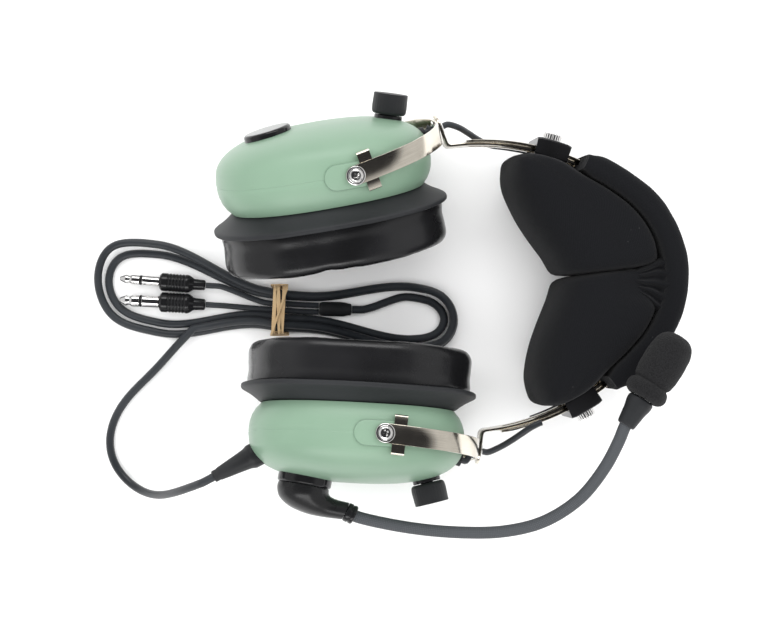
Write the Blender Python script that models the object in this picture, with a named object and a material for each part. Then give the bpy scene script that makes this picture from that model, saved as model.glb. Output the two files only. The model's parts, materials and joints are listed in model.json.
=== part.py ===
"""Aviation headset with a flexible boom microphone, lying on its side.

Two moulded ear domes hang in sprung steel yokes.  Each yoke swivels on a hollow
eyelet at the end of a slotted strap, and the strap slides along the headband
under a thumb screw.  A padded sleeve and two foam lobes line the headband.  The
left dome carries the boom microphone and the cord, which is wound into a hank.

Units are metres.  +X runs from the cups to the crown, +Y to the right ear and
+Z to the front of the head.  The headset lies on z = 0.
"""
import math

import bmesh
import bpy
import numpy as np
from mathutils import Matrix, Vector

MM = 0.001
GAP = 0.3 * MM                  # clearance between touching pieces

# ear dome: an oval shell, measured from the tilt pivot
DOME_LENGTH = 108 * MM
DOME_WIDTH = 84 * MM
DOME_BACK = 23 * MM             # pivot to the outer face
DOME_FRONT = 25 * MM            # curve of the side facing the head
DOME_RIM = 14.5 * MM            # pivot to the rim
DOME_WALL = 2.4 * MM
DOME_SHIFT = -9.3 * MM          # dome centre from the pivot, along the cup
DOME_CROWN = 2.6                # exponent of the side outline
DOME_OVAL = 2.3                 # exponent of the plan outline
BOSS_FACE = 43 * MM             # pivot boss, from the middle plane
BOSS_WIDTH = 12.5 * MM
BOSS_TAIL = 15 * MM
BOSS_NOSE = 10 * MM

# ear seal
FLANGE_LENGTH = 118 * MM
FLANGE_WIDTH = 94 * MM
FLANGE_DEPTH = 9.1 * MM
BORE_LENGTH = 80 * MM
BORE_WIDTH = 59 * MM
SEAL_LENGTH = 112 * MM
SEAL_WIDTH = 88 * MM
SEAL_DEPTH = 21 * MM
EAR_LENGTH = 62 * MM
EAR_WIDTH = 42 * MM
FOAM_DEPTH = 2.6 * MM
RECEIVER_DIAMETER = 42 * MM
RECEIVER_DEPTH = 6 * MM
LINER_DEPTH = 16 * MM
LINER_INSET = 0.5 * MM          # between the liner and the dome's inside

# yoke
STRIP_WIDTH = 9.5 * MM
STRIP = 1.2 * MM                # thickness of the yoke and strap steel
YOKE_SPACE = 6.8 * MM           # end of the dome to the middle of the apex
YOKE_REACH = DOME_SHIFT + DOME_LENGTH / 2 + YOKE_SPACE
YOKE_CURVE = 2.3
YOKE_FLAT = 11 * MM             # straight stretch over the boss
TAB_PLACE = 7 * MM
TAB_LENGTH = 6.4 * MM
TAB_SPAN = 19.4 * MM
TAB_LIP = 2.2 * MM
PIVOT_SHANK = 3.0 * MM
PIVOT_HEAD = 9.4 * MM
PIVOT_DEPTH = 4.8 * MM

# swivel eyelet
EYELET_BORE = 4.0 * MM
EYELET_TUBE = 6.0 * MM
EYELET_FLANGE = 9.0 * MM
EYELET_LIP = 0.8 * MM

# headband: a crown arc between two side arcs
CROWN_RADIUS = 55 * MM
SIDE_RADIUS = 123 * MM
CROWN_HALF_ANGLE = 47.0
BAND_END = 87.3                 # turn of the band's ends from its middle
BAND_THICKNESS = 0.9 * MM
BAND_HALF_WIDTH = 11 * MM
BAND_SPLIT = 2.6 * MM           # half the space between the two bands

# sliding strap
STRAP_TOP = 50.5
STRAP_END = 91.5
STRAP_WIDTH = 12 * MM
SLOT_TOP = 52.5
SLOT_END = 86.5
SLOT_WIDTH = 4.2 * MM
PLATE_LEAN = 13.0               # bend of the end plate past the square
PLATE_LENGTH = 17 * MM
SWIVEL_HEIGHT = 10.5 * MM       # strap to the eyelet
BEND_RADIUS = 2.0 * MM

# clamp
CLAMP_PLACE = 67.0
CLAMP_HALF_ARC = 4.0
CLAMP_WALL = 1.9 * MM
CLAMP_BACK = 4.2 * MM
SCREW_SHANK = 3.4 * MM
SCREW_HEAD = 10 * MM
SCREW_HEIGHT = 4.6 * MM

# head pad
SLEEVE_END = 60.0
SLEEVE_INSIDE = 8.0 * MM
SLEEVE_OUTSIDE = 3.6 * MM
PAD_HALF_WIDTH = 34 * MM
PAD_TIP = 75.0

# knob and control
KNOB_INSET = 17.7 * MM          # from the crown end of the dome
KNOB_PLACE = DOME_SHIFT + DOME_LENGTH / 2 - KNOB_INSET
KNOB_DIAMETER = 17.5 * MM
KNOB_HEIGHT = 10.5 * MM
KNOB_FLUTES = 16
CONTROL_SHAFT = 6 * MM
CONTROL_BUSH = 7 * MM
CONTROL_NUT = 14 * MM

# boom
MOUNT_INSET = 29.4 * MM         # from the lower end of the dome
MOUNT_PLACE = DOME_SHIFT - DOME_LENGTH / 2 + MOUNT_INSET
MOUNT_DIAMETER = 27 * MM
MOUNT_HEIGHT = 3.6 * MM
CAP_HEIGHT = 2.4 * MM
BOOM_DIAMETER = 6 * MM
COLLAR_DIAMETER = 9.6 * MM
COLLAR_LENGTH = 5 * MM
BOOT_LENGTH = 15 * MM
MUFF_LENGTH = 35 * MM
MUFF_RADIUS = 10.4 * MM
MIC_DIAMETER = 9 * MM
MIC_LENGTH = 15 * MM

# cords
CORD = 4.2 * MM
LEAD = 3.0 * MM
CROSSOVER = 3.2 * MM
CROSSOVER_LEVEL = -15.2 * MM
RELIEF_LENGTH = 21.5 * MM
RELIEF_DIAMETER = 12.4 * MM
RELIEF_TIP = 6.0 * MM
RELIEF_LEVEL = 12.4 * MM        # from the pivot to the middle of its seat
RELIEF_PROUD = 2.05 * MM        # how far the seat stands off the dome
RELIEF_TURN = 149.0             # degrees from the cup's length
RELIEF_SPIGOT = 5.2 * MM
GROMMET_SEAT = 8.5 * MM
GROMMET_NECK = 4.8 * MM

# how the headset lies
BAND_TURN = 7.0
SWIVEL_REST = {"right": 12.0, "left": -7.0}
TILT_REST = {"right": -11.0, "left": -4.1}

SEGMENTS = 28


# --------------------------------------------------------------------------
# tools
# --------------------------------------------------------------------------
def clear_scene():
    for obj in list(bpy.data.objects):
        bpy.data.objects.remove(obj, do_unlink=True)


def finish_mesh(name, verts, faces):
    """A closed mesh with its faces pointing out."""
    bm = bmesh.new()
    made = [bm.verts.new(v) for v in verts]
    for face in faces:
        bm.faces.new([made[i] for i in face])
    bmesh.ops.recalc_face_normals(bm, faces=bm.faces)
    mesh = bpy.data.meshes.new(name)
    bm.to_mesh(mesh)
    bm.free()
    return mesh


def loft(name, rings, closed=False):
    """Join equal rings of points; closed runs the last ring back to the first."""
    count = len(rings[0])
    verts = [v for ring in rings for v in ring]
    faces = []
    spans = len(rings) if closed else len(rings) - 1
    for i in range(spans):
        low = i * count
        high = ((i + 1) % len(rings)) * count
        for j in range(count):
            k = (j + 1) % count
            faces.append((low + j, low + k, high + k, high + j))
    if not closed:
        for first in (0, (len(rings) - 1) * count):
            middle = sum((Vector(v) for v in verts[first:first + count]), Vector()) / count
            verts.append(middle)
            faces += [(first + j, first + (j + 1) % count, len(verts) - 1) for j in range(count)]
    return finish_mesh(name, verts, faces)


def turned(name, profile, segments=24, closed=False, phase=0.0):
    """Turn (radius, height) rows about Z; phase is in segments."""
    rings = []
    for radius, height in profile:
        rings.append([Vector((radius * math.cos(a), radius * math.sin(a), height))
                      for a in (2 * math.pi * (i + phase) / segments for i in range(segments))])
    return loft(name, rings, closed)


def prism(name, outline, low, high):
    """Extrude an outline in the XY plane along Z."""
    return loft(name, [[Vector((x, y, z)) for x, y in outline] for z in (low, high)])


def rod(name, radius, low, high, segments=16):
    return turned(name, [(radius, low), (radius, high)], segments, phase=0.5)


def oval(length, width, power, segments=SEGMENTS):
    """Points of a superellipse of the given full length and width."""
    points = []
    for angle in np.linspace(0, 2 * math.pi, segments, endpoint=False):
        c, s = math.cos(angle), math.sin(angle)
        points.append((length / 2 * math.copysign(abs(c) ** (2 / power), c),
                       width / 2 * math.copysign(abs(s) ** (2 / power), s)))
    return points


def obround(tail, nose, width, steps=6):
    """A slot shape from -tail to nose along X."""
    r = width / 2
    points = []
    for centre, start in ((nose - r, -90), (r - tail, 90)):
        for a in np.linspace(start, start + 180, steps):
            points.append((centre + r * math.cos(math.radians(a)),
                           r * math.sin(math.radians(a))))
    return points


def moved(mesh, matrix):
    mesh.transform(matrix)
    return mesh


def combine(mesh, tools):
    """Union or difference with each (operation, mesh) in turn, by exact Booleans."""
    obj = bpy.data.objects.new("work", mesh)
    bpy.context.collection.objects.link(obj)
    helpers = []
    for operation, tool_mesh in tools:
        tool = bpy.data.objects.new("tool", tool_mesh)
        bpy.context.collection.objects.link(tool)
        helpers.append(tool)
        modifier = obj.modifiers.new("cut", "BOOLEAN")
        modifier.operation = operation
        modifier.solver = "EXACT"
        modifier.object = tool
    graph = bpy.context.evaluated_depsgraph_get()
    result = bpy.data.meshes.new_from_object(obj.evaluated_get(graph))
    for helper in helpers + [obj]:
        bpy.data.objects.remove(helper, do_unlink=True)
    bm = bmesh.new()
    bm.from_mesh(result)
    bmesh.ops.remove_doubles(bm, verts=bm.verts, dist=0.002 * MM)
    bmesh.ops.dissolve_degenerate(bm, edges=bm.edges, dist=0.002 * MM)
    bm.to_mesh(result)
    bm.free()
    return result


def smooth_curve(points, step, ends=None):
    """Evenly spaced points along a smooth curve through the given points."""
    pts = np.array(points, dtype=float)
    knots = np.concatenate([[0], np.cumsum(np.linalg.norm(np.diff(pts, axis=0), axis=1) ** 0.5)])
    tangents = np.zeros_like(pts)
    for i in range(1, len(pts) - 1):
        before = (pts[i] - pts[i - 1]) / (knots[i] - knots[i - 1])
        after = (pts[i + 1] - pts[i]) / (knots[i + 1] - knots[i])
        share = (knots[i] - knots[i - 1]) / (knots[i + 1] - knots[i - 1])
        tangents[i] = before * (1 - share) + after * share
    tangents[0] = (pts[1] - pts[0]) / (knots[1] - knots[0])
    tangents[-1] = (pts[-1] - pts[-2]) / (knots[-1] - knots[-2])
    if ends is not None:
        for place, direction in zip((0, -1), ends):
            if direction is not None:
                unit = np.array(direction, dtype=float)
                tangents[place] = unit / np.linalg.norm(unit) * np.linalg.norm(tangents[place])
    fine = []
    for i in range(len(pts) - 1):
        width = knots[i + 1] - knots[i]
        for t in np.linspace(0, 1, 24, endpoint=False):
            a = 2 * t ** 3 - 3 * t ** 2 + 1
            b = t ** 3 - 2 * t ** 2 + t
            c = 3 * t ** 2 - 2 * t ** 3
            d = t ** 3 - t ** 2
            fine.append(a * pts[i] + b * width * tangents[i]
                        + c * pts[i + 1] + d * width * tangents[i + 1])
    fine.append(pts[-1])
    fine = np.array(fine)
    run = np.concatenate([[0], np.cumsum(np.linalg.norm(np.diff(fine, axis=0), axis=1))])
    count = max(2, int(round(run[-1] / step)) + 1)
    even = np.linspace(0, run[-1], count)
    return np.stack([np.interp(even, run, fine[:, k]) for k in range(3)], axis=1)


def spaced(points, longest, turn_step=20.0):
    """Thin a fine line of points, closer together where it bends."""
    pts = np.array(points)
    kept = [0]
    bend = 0.0
    run = 0.0
    for i in range(1, len(pts) - 1):
        before = pts[i] - pts[i - 1]
        after = pts[i + 1] - pts[i]
        size = np.linalg.norm(before) * np.linalg.norm(after)
        bend += math.degrees(math.acos(min(1.0, np.dot(before, after) / size)))
        run += np.linalg.norm(before)
        if bend > turn_step or run > longest:
            kept.append(i)
            bend = 0.0
            run = 0.0
    if np.linalg.norm(pts[kept[-1]] - pts[-1]) < longest / 5 and len(kept) > 2:
        kept.pop()
    return pts[kept + [len(pts) - 1]]


def cord_line(route, first, last, diameter, longest, turn_step=20.0, step=1 * MM):
    """A cord's points: smooth between its ends, which run straight for one diameter."""
    heading = np.array(first) / np.linalg.norm(np.array(first))
    leaving = np.array(last) / np.linalg.norm(np.array(last))
    start, end = np.array(route[0]), np.array(route[-1])
    inner = [start + heading * diameter] + [np.array(p) for p in route[1:-1]] + [end - leaving * diameter]
    fine = smooth_curve(inner, step, (heading, leaving))
    return np.vstack([[start], spaced(fine, longest, turn_step), [end]])


def pipe(name, points, diameter, sides=8):
    """A tube through the points, square at its ends."""
    pts = [Vector(p) for p in points]
    rings = []
    normal = None
    for i, p in enumerate(pts):
        ahead = pts[min(i + 1, len(pts) - 1)] - p
        behind = p - pts[max(i - 1, 0)]
        direction = (ahead.normalized() + behind.normalized()).normalized()
        if normal is None:
            normal = direction.orthogonal().normalized()
        normal = (normal - direction * normal.dot(direction)).normalized()
        other = direction.cross(normal)
        rings.append([p + (normal * math.cos(a) + other * math.sin(a)) * diameter / 2
                      for a in np.linspace(0, 2 * math.pi, sides, endpoint=False)])
    return loft(name, rings)


def cord_object(name, points, diameter, resolution):
    """A free cord: a bevelled curve on a poly spline, with filled caps."""
    curve = bpy.data.curves.new(name, "CURVE")
    curve.dimensions = "3D"
    curve.bevel_depth = diameter / 2
    curve.bevel_resolution = resolution
    curve.use_fill_caps = True
    spline = curve.splines.new("POLY")
    spline.points.add(len(points) - 1)
    for point, place in zip(spline.points, points):
        point.co = (*place, 1)
    return curve


FINISHES = {
    "shell": ((0.30, 0.50, 0.36), 0.42, 0.0),
    "rubber": ((0.02, 0.02, 0.022), 0.75, 0.0),
    "vinyl": ((0.012, 0.012, 0.013), 0.25, 0.0),
    "foam": ((0.03, 0.03, 0.03), 0.95, 0.0),
    "steel": ((0.75, 0.73, 0.70), 0.18, 1.0),
    "plastic": ((0.018, 0.018, 0.02), 0.4, 0.0),
    "cloth": ((0.015, 0.015, 0.017), 0.95, 0.0),
    "cable": ((0.03, 0.032, 0.035), 0.6, 0.0),
    "band": ((0.72, 0.62, 0.45), 0.7, 0.0),
}


def add_node(name, data, parent, finish, matrix=None):
    obj = bpy.data.objects.new(name, data)
    bpy.context.collection.objects.link(obj)
    obj.parent = parent
    if matrix is not None:
        obj.matrix_local = matrix
    colour, roughness, metallic = FINISHES[finish]
    material = bpy.data.materials.new(name + "_finish")
    material.use_nodes = True
    shader = material.node_tree.nodes["Principled BSDF"]
    shader.inputs["Base Color"].default_value = (*colour, 1)
    shader.inputs["Roughness"].default_value = roughness
    shader.inputs["Metallic"].default_value = metallic
    data.materials.append(material)
    if isinstance(data, bpy.types.Mesh):
        data.shade_smooth()
        data.set_sharp_from_angle(angle=math.radians(35))
    return obj


def add_empty(name, parent, matrix):
    empty = bpy.data.objects.new(name, None)
    empty.empty_display_size = 0.01
    bpy.context.collection.objects.link(empty)
    empty.parent = parent
    empty.matrix_local = matrix
    return empty


def turn(angle, axis):
    return Matrix.Rotation(math.radians(angle), 4, axis)


def frame(origin, x_axis, y_axis):
    """A matrix with the given origin and first two axes."""
    x = Vector(x_axis).normalized()
    y = Vector(y_axis).normalized()
    z = x.cross(y)
    matrix = Matrix((x, y, z)).transposed().to_4x4()
    matrix.translation = Vector(origin)
    return matrix


# --------------------------------------------------------------------------
# the dome's surface
# --------------------------------------------------------------------------
def dome_scale(y, grow=0.0):
    """Share of the dome's full outline at distance y from the pivot."""
    depth = (DOME_BACK if y > 0 else DOME_FRONT) + grow
    share = min(1.0, abs(y) / depth)
    return (1 - share ** DOME_CROWN) ** (1 / DOME_CROWN)


def dome_ring(y, grow=0.0):
    scale = dome_scale(y, grow)
    ring = oval((DOME_LENGTH + 2 * grow) * scale, (DOME_WIDTH + 2 * grow) * scale, DOME_OVAL)
    return [Vector((DOME_SHIFT + x, y, z)) for x, z in ring]


def dome_seat(place):
    """Point, direction along the shell and outward direction at a place along the cup."""
    half = DOME_LENGTH / 2
    share = (place - DOME_SHIFT) / half
    rest = 1 - abs(share) ** DOME_CROWN
    height = DOME_BACK * rest ** (1 / DOME_CROWN)
    slope = (-math.copysign(abs(share) ** (DOME_CROWN - 1), share)
             * DOME_BACK / half * rest ** (1 / DOME_CROWN - 1))
    along = Vector((1, slope, 0)).normalized()
    out = Vector((-along.y, along.x, 0))
    return Vector((place, height, 0)), along, out


def dome_levels(grow=0.0):
    """Heights of the dome's rings between the middle and the outer face."""
    depth = DOME_BACK + grow
    return [depth * math.sin(math.radians(a)) ** (2 / DOME_CROWN)
            for a in (22, 40, 54, 67, 79)]


def dome_envelope():
    """The dome's outside grown by the clearance, to cut what seats on it."""
    heights = [-DOME_RIM, -DOME_RIM / 2, 0] + dome_levels(GAP)
    rings = [dome_ring(y, GAP) for y in heights]
    return loft("envelope", rings)


def dome_mesh(cutters):
    outer = [dome_ring(y) for y in [-DOME_RIM, -DOME_RIM / 2, 0] + dome_levels()]
    inner = [dome_ring(y, -DOME_WALL)
             for y in reversed([-DOME_RIM, -DOME_RIM / 2, 0] + dome_levels(-DOME_WALL)[1::2])]
    top = Vector((DOME_SHIFT, DOME_BACK, 0))
    under = Vector((DOME_SHIFT, DOME_BACK - DOME_WALL, 0))
    count = SEGMENTS
    verts = [v for ring in outer for v in ring] + [top, under]
    verts += [v for ring in inner for v in ring]
    start = len(outer) * count + 2
    faces = []

    def join(low, high):
        for j in range(count):
            k = (j + 1) % count
            faces.append((low + j, low + k, high + k, high + j))

    for i in range(len(outer) - 1):
        join(i * count, (i + 1) * count)
    for i in range(len(inner) - 1):
        join(start + i * count, start + (i + 1) * count)
    join(start + (len(inner) - 1) * count, 0)
    last = (len(outer) - 1) * count
    for j in range(count):
        k = (j + 1) % count
        faces.append((last + j, last + k, start - 2))
        faces.append((start + j, start + k, start - 1))
    shell = finish_mesh("dome", verts, faces)
    tools = []
    for side in (1, -1):
        low = BOSS_FACE - 6.4 * MM
        boss = prism("boss", obround(BOSS_TAIL, BOSS_NOSE, BOSS_WIDTH),
                     min(side * low, side * BOSS_FACE), max(side * low, side * BOSS_FACE))
        tools.append(("UNION", boss))
    for side in (1, -1):
        deep = side * (BOSS_FACE - PIVOT_DEPTH - GAP)
        over = side * (BOSS_FACE + 2 * MM)
        tools.append(("DIFFERENCE", rod("bore", PIVOT_SHANK / 2 + GAP, min(deep, over), max(deep, over), 12)))
    return combine(shell, tools + [("DIFFERENCE", c) for c in cutters])


# --------------------------------------------------------------------------
# cup pieces, in the frame of the tilt pivot
# --------------------------------------------------------------------------
def oval_rows(name, rows, closed=True):
    """Ovals of (length, width, y) about the dome's middle."""
    rings = []
    for length, width, y in rows:
        rings.append([Vector((DOME_SHIFT + x, y, z)) for x, z in oval(length, width, DOME_OVAL)])
    return loft(name, rings, closed)


def add_seal(side, cup):
    rim = dome_scale(-DOME_RIM)
    rim_length, rim_width = DOME_LENGTH * rim, DOME_WIDTH * rim
    top = -DOME_RIM - GAP
    foot = top - FLANGE_DEPTH
    lip = 1.1 * MM
    flange = oval_rows(side + "_seal_flange", [
        (rim_length - 12 * MM, rim_width - 12 * MM, top),
        (rim_length - 0.5 * MM, rim_width - 0.5 * MM, top),
        ((rim_length + FLANGE_LENGTH) / 2 + 2 * MM, (rim_width + FLANGE_WIDTH) / 2 + 2 * MM, top - 4.6 * MM),
        (FLANGE_LENGTH, FLANGE_WIDTH, foot + lip),
        (FLANGE_LENGTH - 1.6 * MM, FLANGE_WIDTH - 1.6 * MM, foot),
        (SEAL_LENGTH - 8 * MM, SEAL_WIDTH - 8 * MM, foot),
        (BORE_LENGTH, BORE_WIDTH, foot),
        (BORE_LENGTH, BORE_WIDTH, top - 2.5 * MM),
    ])
    add_node(side + "_seal_flange", flange, cup, "rubber")
    back = foot - GAP
    front = back - SEAL_DEPTH
    wide = SEAL_LENGTH - EAR_LENGTH
    rows = []
    for along, depth in ((0.93, 0.0), (0.985, 0.10), (0.97, 0.30), (1.0, 0.54), (0.97, 0.80),
                         (0.84, 0.95), (0.50, 1.0), (0.18, 0.93), (0.02, 0.72), (0.0, 0.45), (0.10, 0.0)):
        rows.append((EAR_LENGTH + wide * along,
                     EAR_WIDTH + (SEAL_WIDTH - EAR_WIDTH) * along, back - SEAL_DEPTH * depth))
    add_node(side + "_seal_cushion", oval_rows("cushion", rows), cup, "vinyl")
    foam_top = foot + FOAM_DEPTH
    foam = oval_rows("foam", [(BORE_LENGTH - 2 * GAP, BORE_WIDTH - 2 * GAP, foot),
                              (BORE_LENGTH - 2 * GAP, BORE_WIDTH - 2 * GAP, foam_top)], False)
    add_node(side + "_filter_foam", foam, cup, "foam")
    liner_face = -DOME_RIM + GAP
    inside = dome_scale(-DOME_RIM, -DOME_WALL)
    liner_length = (DOME_LENGTH - 2 * DOME_WALL) * inside - 2 * LINER_INSET
    liner_width = (DOME_WIDTH - 2 * DOME_WALL) * inside - 2 * LINER_INSET
    liner = oval_rows("liner", [(liner_length, liner_width, liner_face),
                                (liner_length, liner_width, liner_face + LINER_DEPTH)], False)
    add_node(side + "_dome_liner", liner, cup, "foam")
    r = RECEIVER_DIAMETER / 2
    low, high = foam_top + GAP, liner_face - GAP
    receiver = turned("receiver", [(r * 0.5, low + 1.2 * MM), (r * 0.55, low), (r - 1 * MM, low), (r, low + 1 * MM),
                                   (r, high - 1.5 * MM), (r - 2 * MM, high)], 18)
    receiver.transform(Matrix.Translation((DOME_SHIFT, 0, 0)) @ turn(-90, "X"))
    add_node(side + "_receiver", receiver, cup, "plastic")
    return front


def add_pivot_screws(side, cup):
    face = BOSS_FACE + GAP + STRIP + GAP
    r = PIVOT_HEAD / 2
    rows = [(PIVOT_SHANK / 2, BOSS_FACE - PIVOT_DEPTH), (PIVOT_SHANK / 2, face), (r, face),
            (r, face + 0.7 * MM), (r * 0.82, face + 1.6 * MM), (r * 0.45, face + 2.1 * MM)]
    for end, flip in (("front", 0), ("back", 180)):
        screw = turned("screw", rows, 16)
        matrix = turn(flip, "X")
        add_node(f"{side}_pivot_screw_{end}", screw, cup, "steel", matrix)


def control_cutter():
    """Hole for the volume control's bush."""
    seat, along, out = dome_seat(KNOB_PLACE)
    place = frame(seat, along, out) @ turn(-90, "X")
    return moved(rod("hole", CONTROL_BUSH / 2 + GAP, -8 * MM, 4 * MM), place)


def add_control(side, cup):
    seat, along, out = dome_seat(KNOB_PLACE)
    place = frame(seat, along, out) @ turn(-90, "X")
    nut = 1.5 * MM
    shaft_end = KNOB_HEIGHT * 0.7 + nut
    nut_body = moved(turned("nut", [(CONTROL_NUT / 2, -4 * MM), (CONTROL_NUT / 2, nut - 0.4 * MM),
                                    (CONTROL_NUT / 2 - 0.6 * MM, nut)], 16), place)
    nut_body = combine(nut_body, [("DIFFERENCE", dome_envelope())])
    body_top = -DOME_WALL - 2.6 * MM
    inside = moved(turned("body", [
        (8 * MM, body_top - 8 * MM), (8 * MM, body_top), (CONTROL_BUSH / 2, body_top),
        (CONTROL_BUSH / 2, nut - 0.8 * MM), (CONTROL_SHAFT / 2, nut - 0.8 * MM), (CONTROL_SHAFT / 2, shaft_end)], 16),
        place)
    control = combine(nut_body, [("UNION", inside)])
    add_node(side + "_volume_control", control, cup, "plastic")
    knob_frame = add_empty(side + "_volume_turn", cup, place)
    r = KNOB_DIAMETER / 2
    base, top = nut + GAP, nut + GAP + KNOB_HEIGHT
    rings = []
    for radius, height, depth in ((r * 0.86, base, 0), (r * 0.97, base + 0.9 * MM, 0), (r, base + 2.2 * MM, 1),
                                  (r, top - 2.0 * MM, 1), (r * 0.82, top, 0)):
        ring = []
        for i in range(2 * KNOB_FLUTES):
            a = math.pi * i / KNOB_FLUTES
            size = radius - depth * (i % 2) * 0.45 * MM
            ring.append(Vector((size * math.cos(a), size * math.sin(a), height)))
        rings.append(ring)
    bore = rod("bore", CONTROL_SHAFT / 2 + GAP, base - 1 * MM, shaft_end + GAP, 12)
    knob = combine(loft("knob", rings), [("DIFFERENCE", bore)])
    add_node(side + "_volume_knob", knob, knob_frame, "rubber")


def seated_disc(place, diameter, height, edge):
    """A disc that follows the dome underneath and is flat on top."""
    seat, along, out = dome_seat(place)
    matrix = frame(seat, along, out) @ turn(-90, "X")
    r = diameter / 2
    disc = moved(turned("disc", [(r, -6 * MM), (r, height - edge), (r - edge, height)], 20), matrix)
    return combine(disc, [("DIFFERENCE", dome_envelope())]), matrix


def along_frame(origin, direction):
    """A frame whose Z axis is the direction."""
    z = Vector(direction).normalized()
    x = Vector((0, 0, 1)) if abs(z.z) < 0.9 else Vector((1, 0, 0))
    y = z.cross(x).normalized()
    return frame(origin, y.cross(z), y)


def relief_place():
    a = math.radians(RELIEF_TURN)
    x = DOME_SHIFT - DOME_LENGTH / 2 * dome_scale(RELIEF_LEVEL) - RELIEF_PROUD
    return along_frame((x, RELIEF_LEVEL, 0), (math.cos(a), math.sin(a), 0))


def add_strain_relief(cup):
    length = RELIEF_LENGTH
    r = RELIEF_DIAMETER / 2
    body = moved(turned("relief", [
        (r, -r), (r, length * 0.03), (r * 0.855, length * 0.11), (r * 0.742, length * 0.35),
        (r * 0.597, length * 0.7), (RELIEF_TIP / 2, length)], 16), relief_place())
    body = combine(body, [("DIFFERENCE", dome_envelope())])
    spigot = moved(rod("spigot", RELIEF_SPIGOT / 2, -DOME_WALL - 5 * MM, 2 * MM), relief_place())
    add_node("cord_strain_relief", combine(body, [("UNION", spigot)]), cup, "rubber")



def grommet_frame():
    """Where the crossover lead enters the crown end of the dome."""
    x = DOME_SHIFT + DOME_LENGTH / 2 * dome_scale(GROMMET_SEAT)
    return along_frame((x, GROMMET_SEAT, 0), (1, 0.25, 0))


def add_grommet(side, cup):
    body = moved(rod("grommet", 3.4 * MM, -4 * MM, 1.4 * MM), grommet_frame())
    body = combine(body, [("DIFFERENCE", dome_envelope())])
    neck = moved(rod("neck", GROMMET_NECK / 2, -DOME_WALL - 2.5 * MM, 1.0 * MM), grommet_frame())
    add_node(side + "_lead_grommet", combine(body, [("UNION", neck)]), cup, "rubber")


# --------------------------------------------------------------------------
# yoke, strap and headband
# --------------------------------------------------------------------------
def ribbon(name, places, normals, axis, thickness, halves):
    """A flat strip along the places; axis runs across it."""
    rings = []
    across = Vector(axis)
    for place, normal, half in zip(places, normals, halves):
        n = Vector(normal).normalized() * thickness / 2
        w = across * half
        p = Vector(place)
        rings.append([p + n + w, p - n + w, p - n - w, p + n - w])
    return loft(name, rings)


def path_normals(places, axis):
    """Normals of a path that lies across the axis."""
    normals = []
    for i in range(len(places)):
        direction = Vector(places[min(i + 1, len(places) - 1)]) - Vector(places[max(i - 1, 0)])
        normals.append(direction.cross(Vector(axis)).normalized())
    return normals


def yoke_path():
    """Middle line of the yoke in the XZ plane, from the front pivot to the back one."""
    level = BOSS_FACE + GAP + STRIP / 2
    half = STRIP_WIDTH / 2
    side = [(-half * math.cos(math.radians(a)), level, half * math.sin(math.radians(a)))
            for a in (12, 38, 64, 90)]
    side.append((YOKE_FLAT, level, half))
    for a in (14, 25, 34, 43, 51, 59, 66, 73, 79):
        share = math.sin(math.radians(a)) ** (2 / YOKE_CURVE)
        other = math.cos(math.radians(a)) ** (2 / YOKE_CURVE)
        side.append((YOKE_FLAT + (YOKE_REACH - YOKE_FLAT) * share, level * other, half))
    side.append((YOKE_REACH, 5.2 * MM, half))
    return side + [(x, -z, w) for x, z, w in reversed(side)]


def yoke_mesh(name):
    path = yoke_path()
    places = [(x, 0, z) for x, z, w in path]
    normals = path_normals(places, (0, 1, 0))
    strip = ribbon(name, places, normals, (0, 1, 0), STRIP, [w for x, z, w in path])
    level = BOSS_FACE + GAP + STRIP / 2
    tools = []
    for side in (1, -1):
        low, high = level - STRIP / 2 - 2.2 * MM, level + STRIP / 2 - 0.2 * MM
        web = high - STRIP + 0.4 * MM
        cross = TAB_SPAN / 2
        outline = [(-cross, high - 0.5 * MM), (-cross + 0.5 * MM, high), (cross - 0.5 * MM, high),
                   (cross, high - 0.5 * MM), (cross, low), (cross - 1.0 * MM, low),
                   (cross - 1.0 * MM, web), (-cross + 1.0 * MM, web), (-cross + 1.0 * MM, low), (-cross, low)]
        rings = []
        for x in (TAB_PLACE - TAB_LENGTH / 2, TAB_PLACE + TAB_LENGTH / 2):
            rings.append([Vector((x, y, side * z)) for y, z in outline])
        tools.append(("UNION", flat_loft("tab", rings)))
    for side in (1, -1):
        hole = rod("hole", PIVOT_SHANK / 2 + 1.5 * GAP, side * level - 3 * MM, side * level + 3 * MM, 12)
        tools.append(("DIFFERENCE", hole))
    apex = moved(rod("apex", EYELET_TUBE / 2 + GAP, YOKE_REACH - 3 * MM, YOKE_REACH + 3 * MM), turn(90, "Y"))
    return combine(strip, tools + [("DIFFERENCE", apex)])


def flat_loft(name, rings):
    """Join rings whose ends are flat and may be hollow in outline."""
    count = len(rings[0])
    verts = [v for ring in rings for v in ring]
    faces = [tuple(range(count)), tuple(range(len(verts) - 1, len(verts) - count - 1, -1))]
    for i in range(len(rings) - 1):
        for j in range(count):
            k = (j + 1) % count
            faces.append((i * count + j, i * count + k, (i + 1) * count + k, (i + 1) * count + j))
    return finish_mesh(name, verts, faces)


def eyelet_mesh():
    """Hollow eyelet on X; X = 0 is the middle of the strap's plate."""
    bore, tube, rim = EYELET_BORE / 2, EYELET_TUBE / 2, EYELET_FLANGE / 2
    front = STRIP / 2 + GAP
    back = -STRIP / 2 - GAP - STRIP - GAP
    roll = 0.5 * MM
    rows = [(bore, back - EYELET_LIP), (rim - roll, back - EYELET_LIP), (rim, back), (tube, back),
            (tube, front), (rim, front), (rim - roll, front + EYELET_LIP), (bore, front + EYELET_LIP)]
    return moved(turned("eyelet", rows, 16, True), turn(90, "Y"))


def arc_centre():
    """Centre of the band's side arc, in the band's frame."""
    a = math.radians(CROWN_HALF_ANGLE)
    reach = SIDE_RADIUS - CROWN_RADIUS
    return Vector((-reach * math.cos(a), -reach * math.sin(a), 0))


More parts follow.
